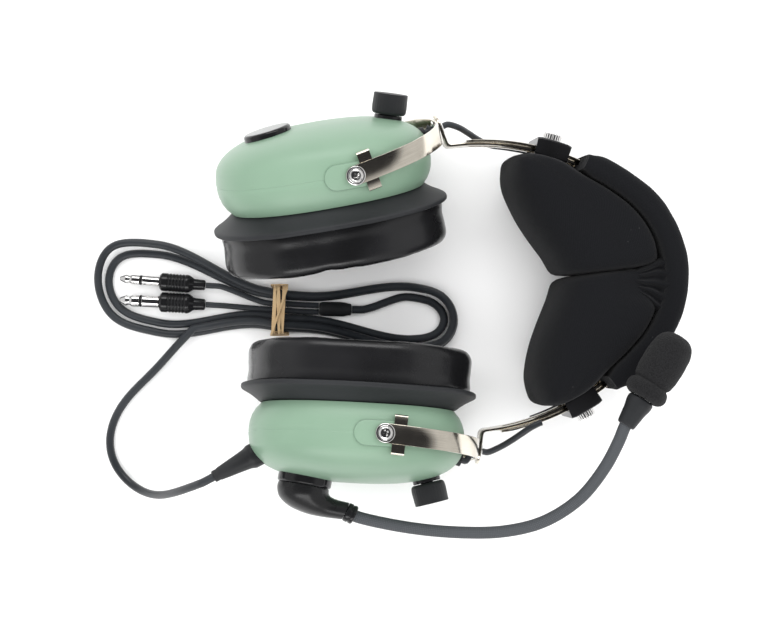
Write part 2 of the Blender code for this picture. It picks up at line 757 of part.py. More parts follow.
def band_point(angle, offset, z):
    """Point on the band's line: angle from the crown, offset outward."""
    a = math.radians(abs(angle))
    if abs(angle) <= CROWN_HALF_ANGLE:
        x, y = (CROWN_RADIUS + offset) * math.cos(a), (CROWN_RADIUS + offset) * math.sin(a)
    else:
        centre = arc_centre()
        x = centre.x + (SIDE_RADIUS + offset) * math.cos(a)
        y = centre.y + (SIDE_RADIUS + offset) * math.sin(a)
    return Vector((x, math.copysign(y, angle) if angle else 0.0, z))


def band_angles(end):
    """Angles of a sweep over the band from -end to end."""
    crown = list(np.linspace(-CROWN_HALF_ANGLE, CROWN_HALF_ANGLE, 15))
    count = max(2, int(round((end - CROWN_HALF_ANGLE) / 3.6)))
    side = list(np.linspace(CROWN_HALF_ANGLE, end, count + 1))[1:]
    return [-a for a in reversed(side)] + crown + side


def band_sweep(name, outline, angles):
    """Sweep an outline of (offset, z) along the band."""
    return loft(name, [[band_point(a, offset, z) for offset, z in outline] for a in angles])


def rounded_box(offset_low, offset_high, z_low, z_high, radius, steps=2):
    """Outline of a box with rounded corners."""
    points = []
    corners = ((offset_high - radius, z_high - radius, 0), (offset_low + radius, z_high - radius, 90),
               (offset_low + radius, z_low + radius, 180), (offset_high - radius, z_low + radius, 270))
    for x, z, start in corners:
        for i in range(steps + 1):
            a = math.radians(start + 90 * i / steps)
            points.append((x + radius * math.cos(a), z + radius * math.sin(a)))
    return points


STRAP_MIDDLE = -BAND_THICKNESS / 2 - GAP - STRIP / 2      # offset of the strap's middle from the band's
PLATE_DIRECTION = STRAP_END + PLATE_LEAN


def strap_corner():
    """Where the strap's line meets its plate, from the arc centre."""
    a = math.radians(STRAP_END)
    r = SIDE_RADIUS + STRAP_MIDDLE
    return Vector((r * math.cos(a), r * math.sin(a), 0))


def plate_direction():
    a = math.radians(PLATE_DIRECTION)
    return Vector((math.cos(a), math.sin(a), 0))


def swivel_matrix():
    """Frame of the eyelet: X towards the crown, through the plate."""
    out = plate_direction()
    return frame(strap_corner() + out * SWIVEL_HEIGHT, (out.y, -out.x, 0), out)


def strap_mesh():
    r = SIDE_RADIUS + STRAP_MIDDLE
    half = STRAP_WIDTH / 2
    bend = BEND_RADIUS + STRIP / 2
    swing = 90 - PLATE_LEAN
    tangent = bend * math.tan(math.radians(swing / 2))
    stop = STRAP_END - math.degrees(tangent / r)
    places, halves = [], []
    for i, a in enumerate([STRAP_TOP, STRAP_TOP + 0.5] + list(np.linspace(STRAP_TOP + 3, stop, 11))):
        a = math.radians(a)
        places.append(Vector((r * math.cos(a), r * math.sin(a), 0)))
        halves.append(half - 1 * MM if i == 0 else half)
    a = math.radians(stop)
    centre = Vector(((r + bend) * math.cos(a), (r + bend) * math.sin(a), 0))
    for i in range(1, 6):
        b = math.radians(stop + 180 - swing * i / 5)
        places.append(centre + Vector((bend * math.cos(b), bend * math.sin(b), 0)))
        halves.append(half)
    out = plate_direction()
    corner = strap_corner()
    for a in (0, 25, 50, 72, 86):
        reach = PLATE_LENGTH - half + half * math.sin(math.radians(a))
        places.append(corner + out * reach)
        halves.append(half * math.cos(math.radians(a)))
    normals = path_normals(places, (0, 0, 1))
    strip = ribbon("strap", places, normals, (0, 0, 1), STRIP, halves)
    slot_half = SLOT_WIDTH / 2
    slot = []
    sizes = []
    ends = math.degrees(slot_half / r)
    angles = [SLOT_TOP + ends * k for k in (0.1, 0.5, 1)]
    angles += list(np.linspace(SLOT_TOP + 4, SLOT_END - 4, 8)) + [SLOT_END - ends * k for k in (1, 0.5, 0.1)]
    for a in angles:
        near = min(a - SLOT_TOP, SLOT_END - a) / ends
        sizes.append(slot_half * math.sqrt(1 - (1 - min(near, 1)) ** 2))
        slot.append(Vector((r * math.cos(math.radians(a)), r * math.sin(math.radians(a)), 0)))
    cutter = ribbon("slot", slot, path_normals(slot, (0, 0, 1)), (0, 0, 1), 3 * MM, sizes)
    hole = moved(rod("hole", EYELET_TUBE / 2 + GAP, -3 * MM, 3 * MM), swivel_matrix() @ turn(90, "Y"))
    return combine(strip, [("DIFFERENCE", cutter), ("DIFFERENCE", hole)])


CLAMP_LOW = STRAP_MIDDLE - STRIP / 2 - GAP - 0.05 * MM     # window of the clamp block
CLAMP_HIGH = BAND_THICKNESS / 2 + GAP + 0.05 * MM
CLAMP_TOP = 5.0 * MM
CLAMP_REACH = BAND_HALF_WIDTH + GAP + 0.05 * MM


def clamp_matrix():
    """Frame of the thumb screw: Z outward along its axis, origin on the band's line."""
    out = band_point(CLAMP_PLACE, 1, 0) - band_point(CLAMP_PLACE, 0, 0)
    return along_frame(band_point(CLAMP_PLACE, 0, 0), out)


def clamp_mesh():
    angles = np.linspace(CLAMP_PLACE - CLAMP_HALF_ARC, CLAMP_PLACE + CLAMP_HALF_ARC, 3)
    reach = CLAMP_REACH + CLAMP_WALL
    block = band_sweep("block", rounded_box(-CLAMP_BACK, CLAMP_TOP, -reach, reach, 1.2 * MM), angles)
    wide = np.linspace(CLAMP_PLACE - CLAMP_HALF_ARC - 1, CLAMP_PLACE + CLAMP_HALF_ARC + 1, 4)
    window = band_sweep("window", [(CLAMP_HIGH, CLAMP_REACH), (CLAMP_LOW, CLAMP_REACH),
                                   (CLAMP_LOW, -CLAMP_REACH), (CLAMP_HIGH, -CLAMP_REACH)], wide)
    hole = moved(rod("hole", SCREW_SHANK / 2 + GAP, CLAMP_LOW - 1.0 * MM, CLAMP_TOP + 3 * MM), clamp_matrix())
    return combine(block, [("DIFFERENCE", window), ("DIFFERENCE", hole)])


def thumb_screw_mesh():
    r = SCREW_HEAD / 2
    base = CLAMP_TOP + GAP
    tip = CLAMP_LOW - 0.7 * MM
    rings = []
    for radius, height, knurl in ((SCREW_SHANK / 2, tip, 0), (SCREW_SHANK / 2, base, 0), (r - 0.6 * MM, base, 0),
                                  (r, base + 0.5 * MM, 1), (r, base + SCREW_HEIGHT - 0.6 * MM, 1),
                                  (r - 0.8 * MM, base + SCREW_HEIGHT, 0)):
        ring = []
        for i in range(24):
            a = 2 * math.pi * i / 24
            size = radius - knurl * (i % 2) * 0.35 * MM
            ring.append(Vector((size * math.cos(a), size * math.sin(a), height)))
        rings.append(ring)
    return loft("thumb_screw", rings)


def band_mesh(side):
    low, high = BAND_SPLIT * side, BAND_HALF_WIDTH * side
    half = BAND_THICKNESS / 2
    return band_sweep("band", [(half, low), (-half, low), (-half, high), (half, high)], band_angles(BAND_END))


def sleeve_mesh():
    angles = band_angles(SLEEVE_END)
    half = PAD_HALF_WIDTH
    body = band_sweep("sleeve", rounded_box(-SLEEVE_INSIDE, SLEEVE_OUTSIDE, -half, half, 4.5 * MM, 2), angles)
    wide = [angles[0] - 2] + angles[1:-1] + [angles[-1] + 2]
    low = CROSSOVER_LEVEL - CROSSOVER / 2 - GAP
    depth = CROSSOVER / 2 + GAP
    window = band_sweep("window", [(depth, BAND_HALF_WIDTH + GAP), (CLAMP_LOW, BAND_HALF_WIDTH + GAP),
                                   (CLAMP_LOW, low), (depth, low)], wide)
    return combine(body, [("DIFFERENCE", window)])


PAD_INSIDE = [(-1, 2.2), (-10, 16), (-19, 34), (-22.8, 50), (-20.6, 60.5)]


def pad_mesh(side):
    """One foam lobe of the head pad; side is 1 for the right ear and -1 for the left."""
    inner = smooth_curve([(x * MM, y * MM, 0) for x, y in PAD_INSIDE], 6.5 * MM)
    count = len(inner)
    rings = []
    rows = []
    for i in range(count):
        share = i / (count - 1)
        angle = 1.7 + (72.5 - 1.7) * share ** 0.93
        offset = -SLEEVE_INSIDE - 0.4 * MM
        if angle > SLEEVE_END + 0.5:
            offset += 3.2 * MM * min(1.0, (angle - SLEEVE_END - 0.5) / 3)
        outer = band_point(angle, offset, 0)
        height = PAD_HALF_WIDTH - 0.5 * MM
        if share < 0.3:
            height -= 4.0 * MM * (1 - share / 0.3) ** 2
        if share > 0.75:
            height -= 5.0 * MM * ((share - 0.75) / 0.25) ** 2
        rows.append((outer, Vector(inner[i]), height, 2.7))
    rows.append((band_point(74.3, -5.4 * MM, 0), Vector((-19.6 * MM, 62.9 * MM, 0)), PAD_HALF_WIDTH - 8.5 * MM, 2.6))
    rows.append((band_point(75.3, -5.8 * MM, 0), Vector((-18.2 * MM, 64.2 * MM, 0)), PAD_HALF_WIDTH - 13 * MM, 2.4))
    for outer, inside, height, power in rows:
        middle = (outer + inside) / 2
        reach = (outer - inside).length / 2
        unit = (inside - outer).normalized()
        ring = []
        for a in np.linspace(0, 2 * math.pi, 20, endpoint=False):
            c, s = math.cos(a), math.sin(a)
            along = reach * math.copysign(abs(c) ** (2 / power), c)
            up = height * math.copysign(abs(s) ** (2 / power), s)
            p = middle + unit * along
            ring.append(Vector((p.x, side * p.y, up)))
        rings.append(ring)
    return loft("pad", rings)


# --------------------------------------------------------------------------
# boom and microphone, in the left cup's frame
# --------------------------------------------------------------------------
BOOM_LEAN = 15.5                # degrees from the dome to the collar's direction
BOOM_ROUTE = [(16.4, 43.6, -2.5), (41.2, 45.1, -8.5), (64.6, 43.6, -16), (82.5, 38, -24.5), (97.5, 26.5, -34.5),
              (107.2, 11.2, -44.5), (112, -1.5, -51.5)]
MUFF_START = Vector((121.4 * MM, -22.3 * MM, -57 * MM))
MIC_DIRECTION = Vector((0.48, -0.87, -0.12)).normalized()
ELBOW = [((12.8, 0), (-12.8, 0), 12.8), ((12.9, 1.2), (-12.9, 3.0), 12.7), ((13.2, 2.0), (-10.8, 7.5), 11.8),
         ((13.9, 2.7), (-5, 11.2), 10), ((15, 3.2), (3.5, 13.2), 8), ((17.5, 3.8), (11.5, 13.5), 6),
         ((23.9, 4.2), (21.5, 13.0), 4.7)]


def boom_frame():
    """Boom hinge: X along the dome, Z out of it, origin on top of the mount's disc."""
    seat, along, out = dome_seat(MOUNT_PLACE)
    place = frame(seat + out * (MOUNT_HEIGHT + GAP), along, out)
    return place @ turn(-90, "X")


def add_boom(cup):
    disc, seat = seated_disc(MOUNT_PLACE, MOUNT_DIAMETER, MOUNT_HEIGHT, 0.8 * MM)
    spigot = moved(rod("spigot", 3 * MM, -2 * MM, MOUNT_HEIGHT + 2.4 * MM), seat)
    disc = combine(disc, [("UNION", combine(spigot, [("DIFFERENCE", dome_envelope())]))])
    add_node("boom_mount", disc, cup, "plastic")
    hinge = boom_frame()
    boom = add_empty("boom_hinge", cup, hinge)
    back = hinge.inverted()
    rings = []
    for (x1, y1), (x2, y2), depth in ELBOW:
        middle = Vector(((x1 + x2) / 2, 0, (y1 + y2) / 2)) * MM
        half = Vector(((x1 - x2) / 2, 0, (y1 - y2) / 2)) * MM
        ring = []
        for a in np.linspace(0, 2 * math.pi, 18, endpoint=False):
            ring.append(middle + half * math.cos(a) + Vector((0, depth * MM * math.sin(a), 0)))
        rings.append(ring)
    elbow = loft("elbow", rings)
    pocket = rod("pocket", 3 * MM + GAP, -1 * MM, 2.4 * MM)
    add_node("boom_elbow", combine(elbow, [("DIFFERENCE", pocket)]), boom, "rubber")
    lean = math.radians(BOOM_LEAN)
    direction = Vector((math.cos(lean), 0, math.sin(lean)))
    neck = (Vector(ELBOW[-1][0]) + Vector(ELBOW[-1][1])) / 2 * MM
    start = Vector((neck.x, 0, neck.y)) + direction * GAP
    r = COLLAR_DIAMETER / 2
    bore = BOOM_DIAMETER / 2 + GAP
    rows = [(r - 0.5 * MM, 0), (r, 0.5 * MM), (r, COLLAR_LENGTH - 0.5 * MM), (r - 0.5 * MM, COLLAR_LENGTH),
            (bore, COLLAR_LENGTH), (bore, 1.5 * MM)]
    collar = turned("collar", rows, 16)
    add_node("boom_collar", collar, boom, "steel", along_frame(start, direction))
    first = hinge @ (start + direction * (1.5 * MM + GAP))
    second = hinge @ (start + direction * (COLLAR_LENGTH + 1 * MM))
    boot_start = MUFF_START - MIC_DIRECTION * (BOOT_LENGTH + GAP)
    end = boot_start + MIC_DIRECTION * 4.5 * MM
    heading = (hinge.to_3x3() @ direction)
    route = [first, second] + [Vector(p) * MM for p in BOOM_ROUTE] + [boot_start, end]
    points = spaced(smooth_curve(route, 1 * MM, (heading, MIC_DIRECTION)), 12 * MM, 9.0)
    tube = pipe("boom", [back @ Vector(p) for p in points], BOOM_DIAMETER)
    add_node("mic_boom", tube, boom, "cable")
    rest = BOOM_DIAMETER / 2 + GAP
    boot = turned("boot", [(rest, 5 * MM), (rest, 0), (4.2 * MM, 0), (4.5 * MM, 1 * MM), (5.4 * MM, 8 * MM),
                           (6.4 * MM, 12.5 * MM), (6.5 * MM, 14.2 * MM), (5.7 * MM, BOOT_LENGTH)], 16)
    place = back @ along_frame(boot_start, MIC_DIRECTION)
    add_node("mic_boot", boot, boom, "rubber", place)
    place = back @ along_frame(MUFF_START, MIC_DIRECTION)
    capsule = turned("capsule", [(MIC_DIAMETER / 2, 0), (MIC_DIAMETER / 2, MIC_LENGTH - 0.8 * MM),
                                 (MIC_DIAMETER / 2 - 0.8 * MM, MIC_LENGTH)], 14)
    add_node("microphone", capsule, boom, "plastic", place)
    bore = MIC_DIAMETER / 2 + GAP + 0.1 * MM
    radius = MUFF_RADIUS
    rows = [(bore, MIC_LENGTH + 0.6 * MM), (bore, 0), (7.2 * MM, 0), (8.6 * MM, 1.6 * MM), (9.0 * MM, 4.2 * MM),
            (8.7 * MM, 6.8 * MM), (7.9 * MM, 8.2 * MM), (9.1 * MM, 10 * MM), (radius - 0.2 * MM, 14 * MM),
            (radius, 20 * MM), (radius - 0.4 * MM, 26 * MM), (radius - 2.2 * MM, 31 * MM),
            (radius - 5.2 * MM, MUFF_LENGTH - 0.9 * MM), (2 * MM, MUFF_LENGTH)]
    add_node("mic_muff", turned("muff", rows, 14), boom, "foam", place)
    return boom


# --------------------------------------------------------------------------
# one side of the headset
# --------------------------------------------------------------------------
LEAD_TURN = ((4.8, 9.2), (3.6, 7.3), (3.5, 4.4))        # mm inside the apex, and from the cup's middle
CROSSOVER_END = 78.0


def lead_points(side_frame_from_cup):
    """Crossover lead in the side frame: dome, eyelet bore, then down to the band."""
    swivel = swivel_matrix()
    start = side_frame_from_cup @ grommet_frame() @ Vector((0, 0, 1.4 * MM + GAP))
    heading = (side_frame_from_cup.to_3x3() @ grommet_frame().to_3x3()) @ Vector((0, 0, 1))
    to_side = side_frame_from_cup
    inner = [to_side @ Vector((YOKE_REACH - x * MM, y * MM, 0)) for x, y in LEAD_TURN]
    bore = [swivel @ (Vector(p) * MM) for p in ((-5.0, 2.0, 0), (-4.4, 0.6, 0), (-3.2, 0, 0), (-1.5, 0, 0),
                                                (0.4, 0, 0), (2.4, 0, 0), (4.6, 0.1, -0.4))]
    outer = []
    centre_offset = arc_centre()
    for angle, offset, z in ((88.0, 8.2, -3.2), (85.6, 5.6, -8.0), (83.2, 2.9, -12.2), (80.8, 0.8, -14.7),
                             (78.8, 0.0, CROSSOVER_LEVEL / MM)):
        outer.append(band_point(angle, offset * MM, z * MM) - centre_offset)
    end_angle = CROSSOVER_END + math.degrees(GAP / SIDE_RADIUS)
    last = band_point(end_angle, 0, CROSSOVER_LEVEL) - centre_offset
    tangent = band_point(end_angle - 1, 0, 0) - band_point(end_angle, 0, 0)
    return cord_line([start] + inner + bore + outer + [last], heading, tangent, 1.5 * MM, 5 * MM, 30.0, 0.4 * MM)


def build_side(side, band):
    """Strap, yoke and cup of one side, from the band outward."""
    mirror = Matrix.Identity(4) if side == "right" else turn(180, "X")
    side_frame = add_empty(side + "_side", band, mirror)
    strap = add_empty(side + "_slide", side_frame, Matrix.Translation(arc_centre()))
    add_node(side + "_strap", strap_mesh(), strap, "steel")
    swivel = add_empty(side + "_swivel", strap, swivel_matrix())
    add_node(side + "_swivel_eyelet", eyelet_mesh(), swivel, "steel")
    apex = YOKE_REACH + STRIP + GAP
    yoke_rest = turn(SWIVEL_REST[side], "X") @ Matrix.Translation((-apex, 0, 0))
    yoke = add_empty(side + "_yoke", swivel, yoke_rest)
    add_node(side + "_stirrup", yoke_mesh(side), yoke, "steel")
    cup_rest = turn(TILT_REST[side], "Z")
    cup = add_empty(side + "_cup", yoke, cup_rest)
    cutters = [control_cutter()]
    cutters.append(moved(rod("hole", GROMMET_NECK / 2 + GAP, -8 * MM, 4 * MM, 12), grommet_frame()))
    if side == "left":
        cutters.append(moved(rod("hole", RELIEF_SPIGOT / 2 + GAP, -12 * MM, 6 * MM, 12), relief_place()))
    add_node(side + "_dome", dome_mesh(cutters), cup, "shell")
    add_seal(side, cup)
    add_pivot_screws(side, cup)
    add_control(side, cup)
    add_grommet(side, cup)
    to_side = swivel_matrix() @ yoke_rest @ cup_rest
    lead = pipe("lead", lead_points(to_side), CROSSOVER, 8)
    add_node(side + "_crossover_lead", lead, strap, "cable")
    block = clamp_mesh()
    add_node(side + "_clamp_block", block, side_frame, "plastic")
    screw = add_empty(side + "_thumb_turn", side_frame, clamp_matrix())
    add_node(side + "_thumb_screw", thumb_screw_mesh(), screw, "steel")
    return cup


def lay_on_table(root):
    """Turn the whole headset onto the face it would come to rest on."""
    bpy.context.view_layer.update()
    points = []
    for obj in bpy.data.objects:
        if obj.type == "MESH":
            points += [obj.matrix_world @ v.co for v in obj.data.vertices]
    bm = bmesh.new()
    for p in points:
        bm.verts.new(p)
    hull = bmesh.ops.convex_hull(bm, input=bm.verts, use_existing_faces=False)
    faces = [f for f in hull["geom"] if isinstance(f, bmesh.types.BMFace)]
    cloud = np.array(points)
    middle = Vector(np.median(cloud, axis=0) * 0.3 + cloud.mean(axis=0) * 0.7)
    best = None
    for face in faces:
        face.normal_update()
        if face.normal.z > -0.9:
            continue
        corners = [v.co for v in face.verts]
        normal = face.normal
        reach = (corners[0] - middle).dot(normal)
        foot = middle + normal * reach
        inside = True
        for i in range(len(corners)):
            edge = corners[(i + 1) % len(corners)] - corners[i]
            if edge.cross(foot - corners[i]).dot(normal) < 0:
                inside = False
        if inside:
            best = normal.copy()
    bm.free()
    level = best.rotation_difference(Vector((0, 0, -1))).to_matrix().to_4x4()
    turned_points = [level @ p for p in points]
    low = [min(p[k] for p in turned_points) for k in range(3)]
    high = [max(p[k] for p in turned_points) for k in range(3)]
    shift = Vector((-(low[0] + high[0]) / 2, -(low[1] + high[1]) / 2, -low[2]))
    root.matrix_world = Matrix.Translation(shift) @ level @ root.matrix_world
    bpy.context.view_layer.update()
    return Matrix.Translation(shift) @ level


# --------------------------------------------------------------------------
# cord, hank and plugs, as they lie on the table
# --------------------------------------------------------------------------
LAY_CENTRE = (57.2, 22.0)       # mm, where the band's crown centre stands in the cords' plan
WAIST = -87.0                   # mm, where the tie gathers the hank
HANK_MIDDLE = -87.4
HANK_REACH = 94.5
HANK_START = 244.0              # degrees along the winding
HANK_END = 1108.0
HANK_PITCH = 5.35               # mm each turn lies inside the one before it
CORD_DROP = [(-8.3, -4.1, 60), (-14.3, -6.5, 54.5), (-20.8, -9.3, 44.5), (-27.3, -11.7, 32)]   # from the relief
CORD_ROUTE = [(-150.5, -90.7, 19.5), (-157, -90.8, 9.5), (-163.7, -88.8, 3.6),
              (-171, -82.5, 2.4), (-176.3, -75.4, 2.4), (-178.4, -62.7, 2.4), (-173.7, -48.4, 2.4),
              (-165.2, -37.3, 2.4), (-155, -29, 2.4), (-147, -20, 4.2), (-140, -11.5, 6.7), (-134, -6.3, 7.2)]
CORD_STEP = 11 * MM             # longest run between the cord's rings
HANK_TAIL = [(-21, 12.4, 2.3), (-31, 9.6, 2.9), (-38, 7.0, 4.2)]
JUNCTION = ((-49, 5.8, 4.8), (-66, 6.2, 4.8))
JUNCTION_DIAMETER = 7.6 * MM
PLUGS = {"phone": ((-126, 8.4), (-171, 11.0), 10.5, 6.35, -1), "mic": ((-126, 18.6), (-171, 22.2), 9.5, 5.23, 1)}
PLUG_BODY = 24 * MM
TIE_WIDTH = 7 * MM
TIE = 1.2 * MM


def ease(t):
    t = min(1.0, max(0.0, t))
    return t * t * (3 - 2 * t)


def hank_point(a):
    """Point of the winding at angle a in degrees, in metres."""
    turned_in = HANK_PITCH * (a - 590) / 360
    inset = turned_in + (2.4 - turned_in) * (1 - ease((a - 440) / 60))
    level = 2.25 + (7.0 - 2.25) * (1 - ease((a - 500) / 90))
    r = math.radians(a)
    x = HANK_MIDDLE + (HANK_REACH - inset) * math.cos(r)
    s = 2.1 * math.sin(r)
    swing = s / (1 + s ** 4) ** 0.25
    if x > WAIST:
        middle = 6 - 0.06 * (x - WAIST)
        half = 10.4 + 8.9 * ease((x - WAIST - 15) / 55)
    else:
        middle = 6 - 0.16 * (x - WAIST)
        half = 10.4 + 13 * ease((WAIST - x - 8) / 55)
    lift = 2.0 * math.exp(-((x - WAIST) / 16) ** 2)
    return np.array([x, middle + (half - inset) * swing, level + lift]) * MM


def hank_points():
    points = [hank_point(a) for a in np.arange(HANK_START, HANK_END, 3.0)]
    tail = [np.array(p) * MM for p in HANK_TAIL]
    first = np.array(JUNCTION[0]) * MM
    unit = (np.array(JUNCTION[1]) - np.array(JUNCTION[0]))
    unit = unit / np.linalg.norm(unit)
    route = points + tail + [first - unit * GAP]
    start = hank_point(HANK_START + 0.5) - hank_point(HANK_START)
    return cord_line(route, start, unit, CORD, 18 * MM, 22.0)


def least_gap(points, diameter):
    """Smallest clear distance between stretches of a tube that aren't neighbours."""
    pts = np.array(points)
    fine = []
    for a, b in zip(pts[:-1], pts[1:]):
        for t in np.linspace(0, 1, 6, endpoint=False):
            fine.append(a + (b - a) * t)
    fine = np.array(fine)
    run = np.concatenate([[0], np.cumsum(np.linalg.norm(np.diff(fine, axis=0), axis=1))])
    least = 1.0
    for i in range(len(fine)):
        far = np.abs(run - run[i]) > 5 * diameter
        if far.any():
            apart = np.linalg.norm(fine[far] - fine[i], axis=1).min()
            if apart < least:
                least = apart
                place = fine[i]
    return least - diameter, place


def add_cords(cup, band):
    crown = band.matrix_world.translation
    shift = Vector((crown.x - LAY_CENTRE[0] * MM, crown.y - LAY_CENTRE[1] * MM, 0))
    lay = add_empty("cord_lay", None, Matrix.Translation(shift))
    tip = cup.matrix_world @ relief_place() @ Vector((0, 0, RELIEF_LENGTH + GAP)) - shift
    out = cup.matrix_world.to_3x3() @ relief_place().to_3x3() @ Vector((0, 0, 1))
    start = np.array(tip)
    drop = [np.array((tip.x + x * MM, tip.y + y * MM, z * MM)) for x, y, z in CORD_DROP]
    route = [start] + drop + [np.array(p) * MM for p in CORD_ROUTE]
    heading = hank_point(HANK_START + 0.5) - hank_point(HANK_START)
    heading = heading / np.linalg.norm(heading)
    route.append(hank_point(HANK_START) - heading * GAP)
    points = cord_line(route, out, heading, CORD, CORD_STEP)
    add_node("main_cord", cord_object("main_cord", points, CORD, 2), lay, "cable")
    hank = hank_points()
    least, place = least_gap(hank, CORD)
    print("hank least self-gap mm", round(least / MM, 3), "at", np.round(place / MM, 1), "points", len(hank))
    print("main cord least height mm", round(points[:, 2].min() / MM, 3), "points", len(points))
    add_node("cord_hank", cord_object("cord_hank", hank, CORD, 1), lay, "cable")
    a, b = (Vector(p) * MM for p in JUNCTION)
    length = (b - a).length
    r = JUNCTION_DIAMETER / 2
    body = turned("junction", [(r * 0.7, 0), (r * 0.85, 1.5 * MM), (r, 4 * MM), (r, length - 4 * MM),
                               (r * 0.95, length - 1.5 * MM), (r * 0.8, length)], 12)
    add_node("cord_junction", body, lay, "rubber", along_frame(a, b - a))
    unit = (b - a).normalized()
    for name, (rear, tip_place, body_size, pin_size, side) in PLUGS.items():
        radius = body_size / 2 * MM
        p = Vector((rear[0] * MM, rear[1] * MM, radius + 0.1 * MM))
        q = Vector((tip_place[0] * MM, tip_place[1] * MM, radius + 0.1 * MM))
        axis = (q - p).normalized()
        place = along_frame(p, axis)
        rows = [(radius * 0.42, 0), (radius * 0.55, 0.6 * MM), (radius * 0.62, 6 * MM), (radius * 0.94, 8.5 * MM),
                (radius, 9.5 * MM), (radius, PLUG_BODY - 1 * MM), (radius - 1 * MM, PLUG_BODY)]
        add_node(name + "_plug_body", turned(name, rows, 16), lay, "plastic", place)
        rp = pin_size / 2 * MM
        low = PLUG_BODY + GAP
        end = (q - p).length
        rows = [(rp, low), (rp, low + 9 * MM), (rp * 0.86, low + 9.3 * MM), (rp * 0.86, low + 10.2 * MM),
                (rp, low + 10.5 * MM), (rp, end - 6.4 * MM), (rp * 0.72, end - 5.0 * MM), (rp * 0.95, end - 3.2 * MM),
                (rp * 0.4, end)]
        add_node(name + "_plug_pin", turned(name, rows, 12), lay, "steel", place)
        across = Vector((-unit.y, unit.x, 0)) * side * -1.8 * MM
        first = b + unit * GAP + across
        waist = Vector((WAIST * MM, (7.3 + side * 1.78) * MM, 4.3 * MM))
        route = [first, waist, waist + Vector((-8 * MM, 0.5 * MM, 0)), p - axis * 8 * MM, p - axis * GAP]
        lead = cord_line(route, unit, axis, LEAD, 9 * MM)
        add_node(name + "_lead", cord_object(name + "_lead", lead, LEAD, 2), lay, "cable")
    near = []
    for p, q in zip(hank[:-1], hank[1:]):
        near += [p + (q - p) * t for t in np.linspace(0, 1, 20)]
    near = np.array([v for v in near if abs(v[0] / MM - WAIST) < TIE_WIDTH / MM / 2 + 1])
    room = CORD / 2 + 0.35 * MM
    low_y, high_y = near[:, 1].min() - room, near[:, 1].max() + room
    low_z, high_z = near[:, 2].min() - room, near[:, 2].max() + room
    rings = []
    for grow, x in ((TIE, -1), (TIE, 1), (0.0, 1), (0.0, -1)):
        corner = 2.0 * MM + grow
        outline = rounded_box(low_y - grow, high_y + grow, low_z - grow, high_z + grow, corner, 4)
        rings.append([Vector((WAIST * MM + x * TIE_WIDTH / 2, y, z)) for y, z in outline])
    add_node("cord_tie", loft("tie", rings, True), lay, "band")


def main():
    clear_scene()
    root = add_empty("headset", None, Matrix.Identity(4))
    band = add_empty("headband", root, turn(BAND_TURN, "Z"))
    build_side("right", band)
    left = build_side("left", band)
    right = bpy.data.objects["right_cup"]
    add_node("headband_front_band", band_mesh(1), band, "steel")
    add_node("headband_rear_band", band_mesh(-1), band, "steel")
    add_node("head_pad_sleeve", sleeve_mesh(), band, "cloth")
    add_node("head_pad_right", pad_mesh(1), band, "cloth")
    add_node("head_pad_left", pad_mesh(-1), band, "cloth")
    angles = [a for a in np.linspace(-CROSSOVER_END, CROSSOVER_END, 23)]
    line = [band_point(a, 0, CROSSOVER_LEVEL) for a in angles]
    add_node("crossover_cord", pipe("crossover", line, CROSSOVER, 6), band, "cable")
    cap, seat = seated_disc(MOUNT_PLACE, MOUNT_DIAMETER - 3 * MM, CAP_HEIGHT, 0.8 * MM)
    add_node("right_mount_cap", cap, right, "plastic")
    add_boom(left)
    add_strain_relief(left)
    lay_on_table(root)
    add_cords(left, band)


main()
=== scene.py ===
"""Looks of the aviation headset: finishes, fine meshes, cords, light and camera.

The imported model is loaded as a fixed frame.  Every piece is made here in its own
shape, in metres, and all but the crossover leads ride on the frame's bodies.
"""
import json
import math

import bmesh
import bpy
import numpy as np
from mathutils import Matrix, Vector, noise


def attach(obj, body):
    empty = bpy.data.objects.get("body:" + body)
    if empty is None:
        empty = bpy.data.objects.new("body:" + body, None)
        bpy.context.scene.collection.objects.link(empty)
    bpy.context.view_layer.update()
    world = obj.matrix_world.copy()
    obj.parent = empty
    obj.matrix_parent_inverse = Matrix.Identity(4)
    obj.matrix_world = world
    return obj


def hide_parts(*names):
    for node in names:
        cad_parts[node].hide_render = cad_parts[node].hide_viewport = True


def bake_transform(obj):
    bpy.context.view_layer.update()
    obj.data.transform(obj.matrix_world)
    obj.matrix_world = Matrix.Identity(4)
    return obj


MM = 0.001
GAP = 0.3 * MM

# ear dome
DOME_LENGTH = 108 * MM
DOME_WIDTH = 84 * MM
DOME_BACK = 23 * MM
DOME_FRONT = 25 * MM
DOME_RIM = 14.5 * MM
DOME_WALL = 2.4 * MM
DOME_SHIFT = -9.3 * MM
DOME_CROWN = 2.6
DOME_OVAL = 2.3
BOSS_FACE = 43 * MM
BOSS_WIDTH = 12.5 * MM
BOSS_TAIL = 15 * MM
BOSS_NOSE = 10 * MM

# ear seal
FLANGE_LENGTH = 118 * MM
FLANGE_WIDTH = 94 * MM
FLANGE_DEPTH = 9.1 * MM
BORE_LENGTH = 80 * MM
BORE_WIDTH = 59 * MM
SEAL_LENGTH = 112 * MM
SEAL_WIDTH = 88 * MM
SEAL_DEPTH = 21 * MM
EAR_LENGTH = 62 * MM
EAR_WIDTH = 42 * MM
FOAM_DEPTH = 2.6 * MM
LINER_DEPTH = 16 * MM
LINER_INSET = 0.5 * MM

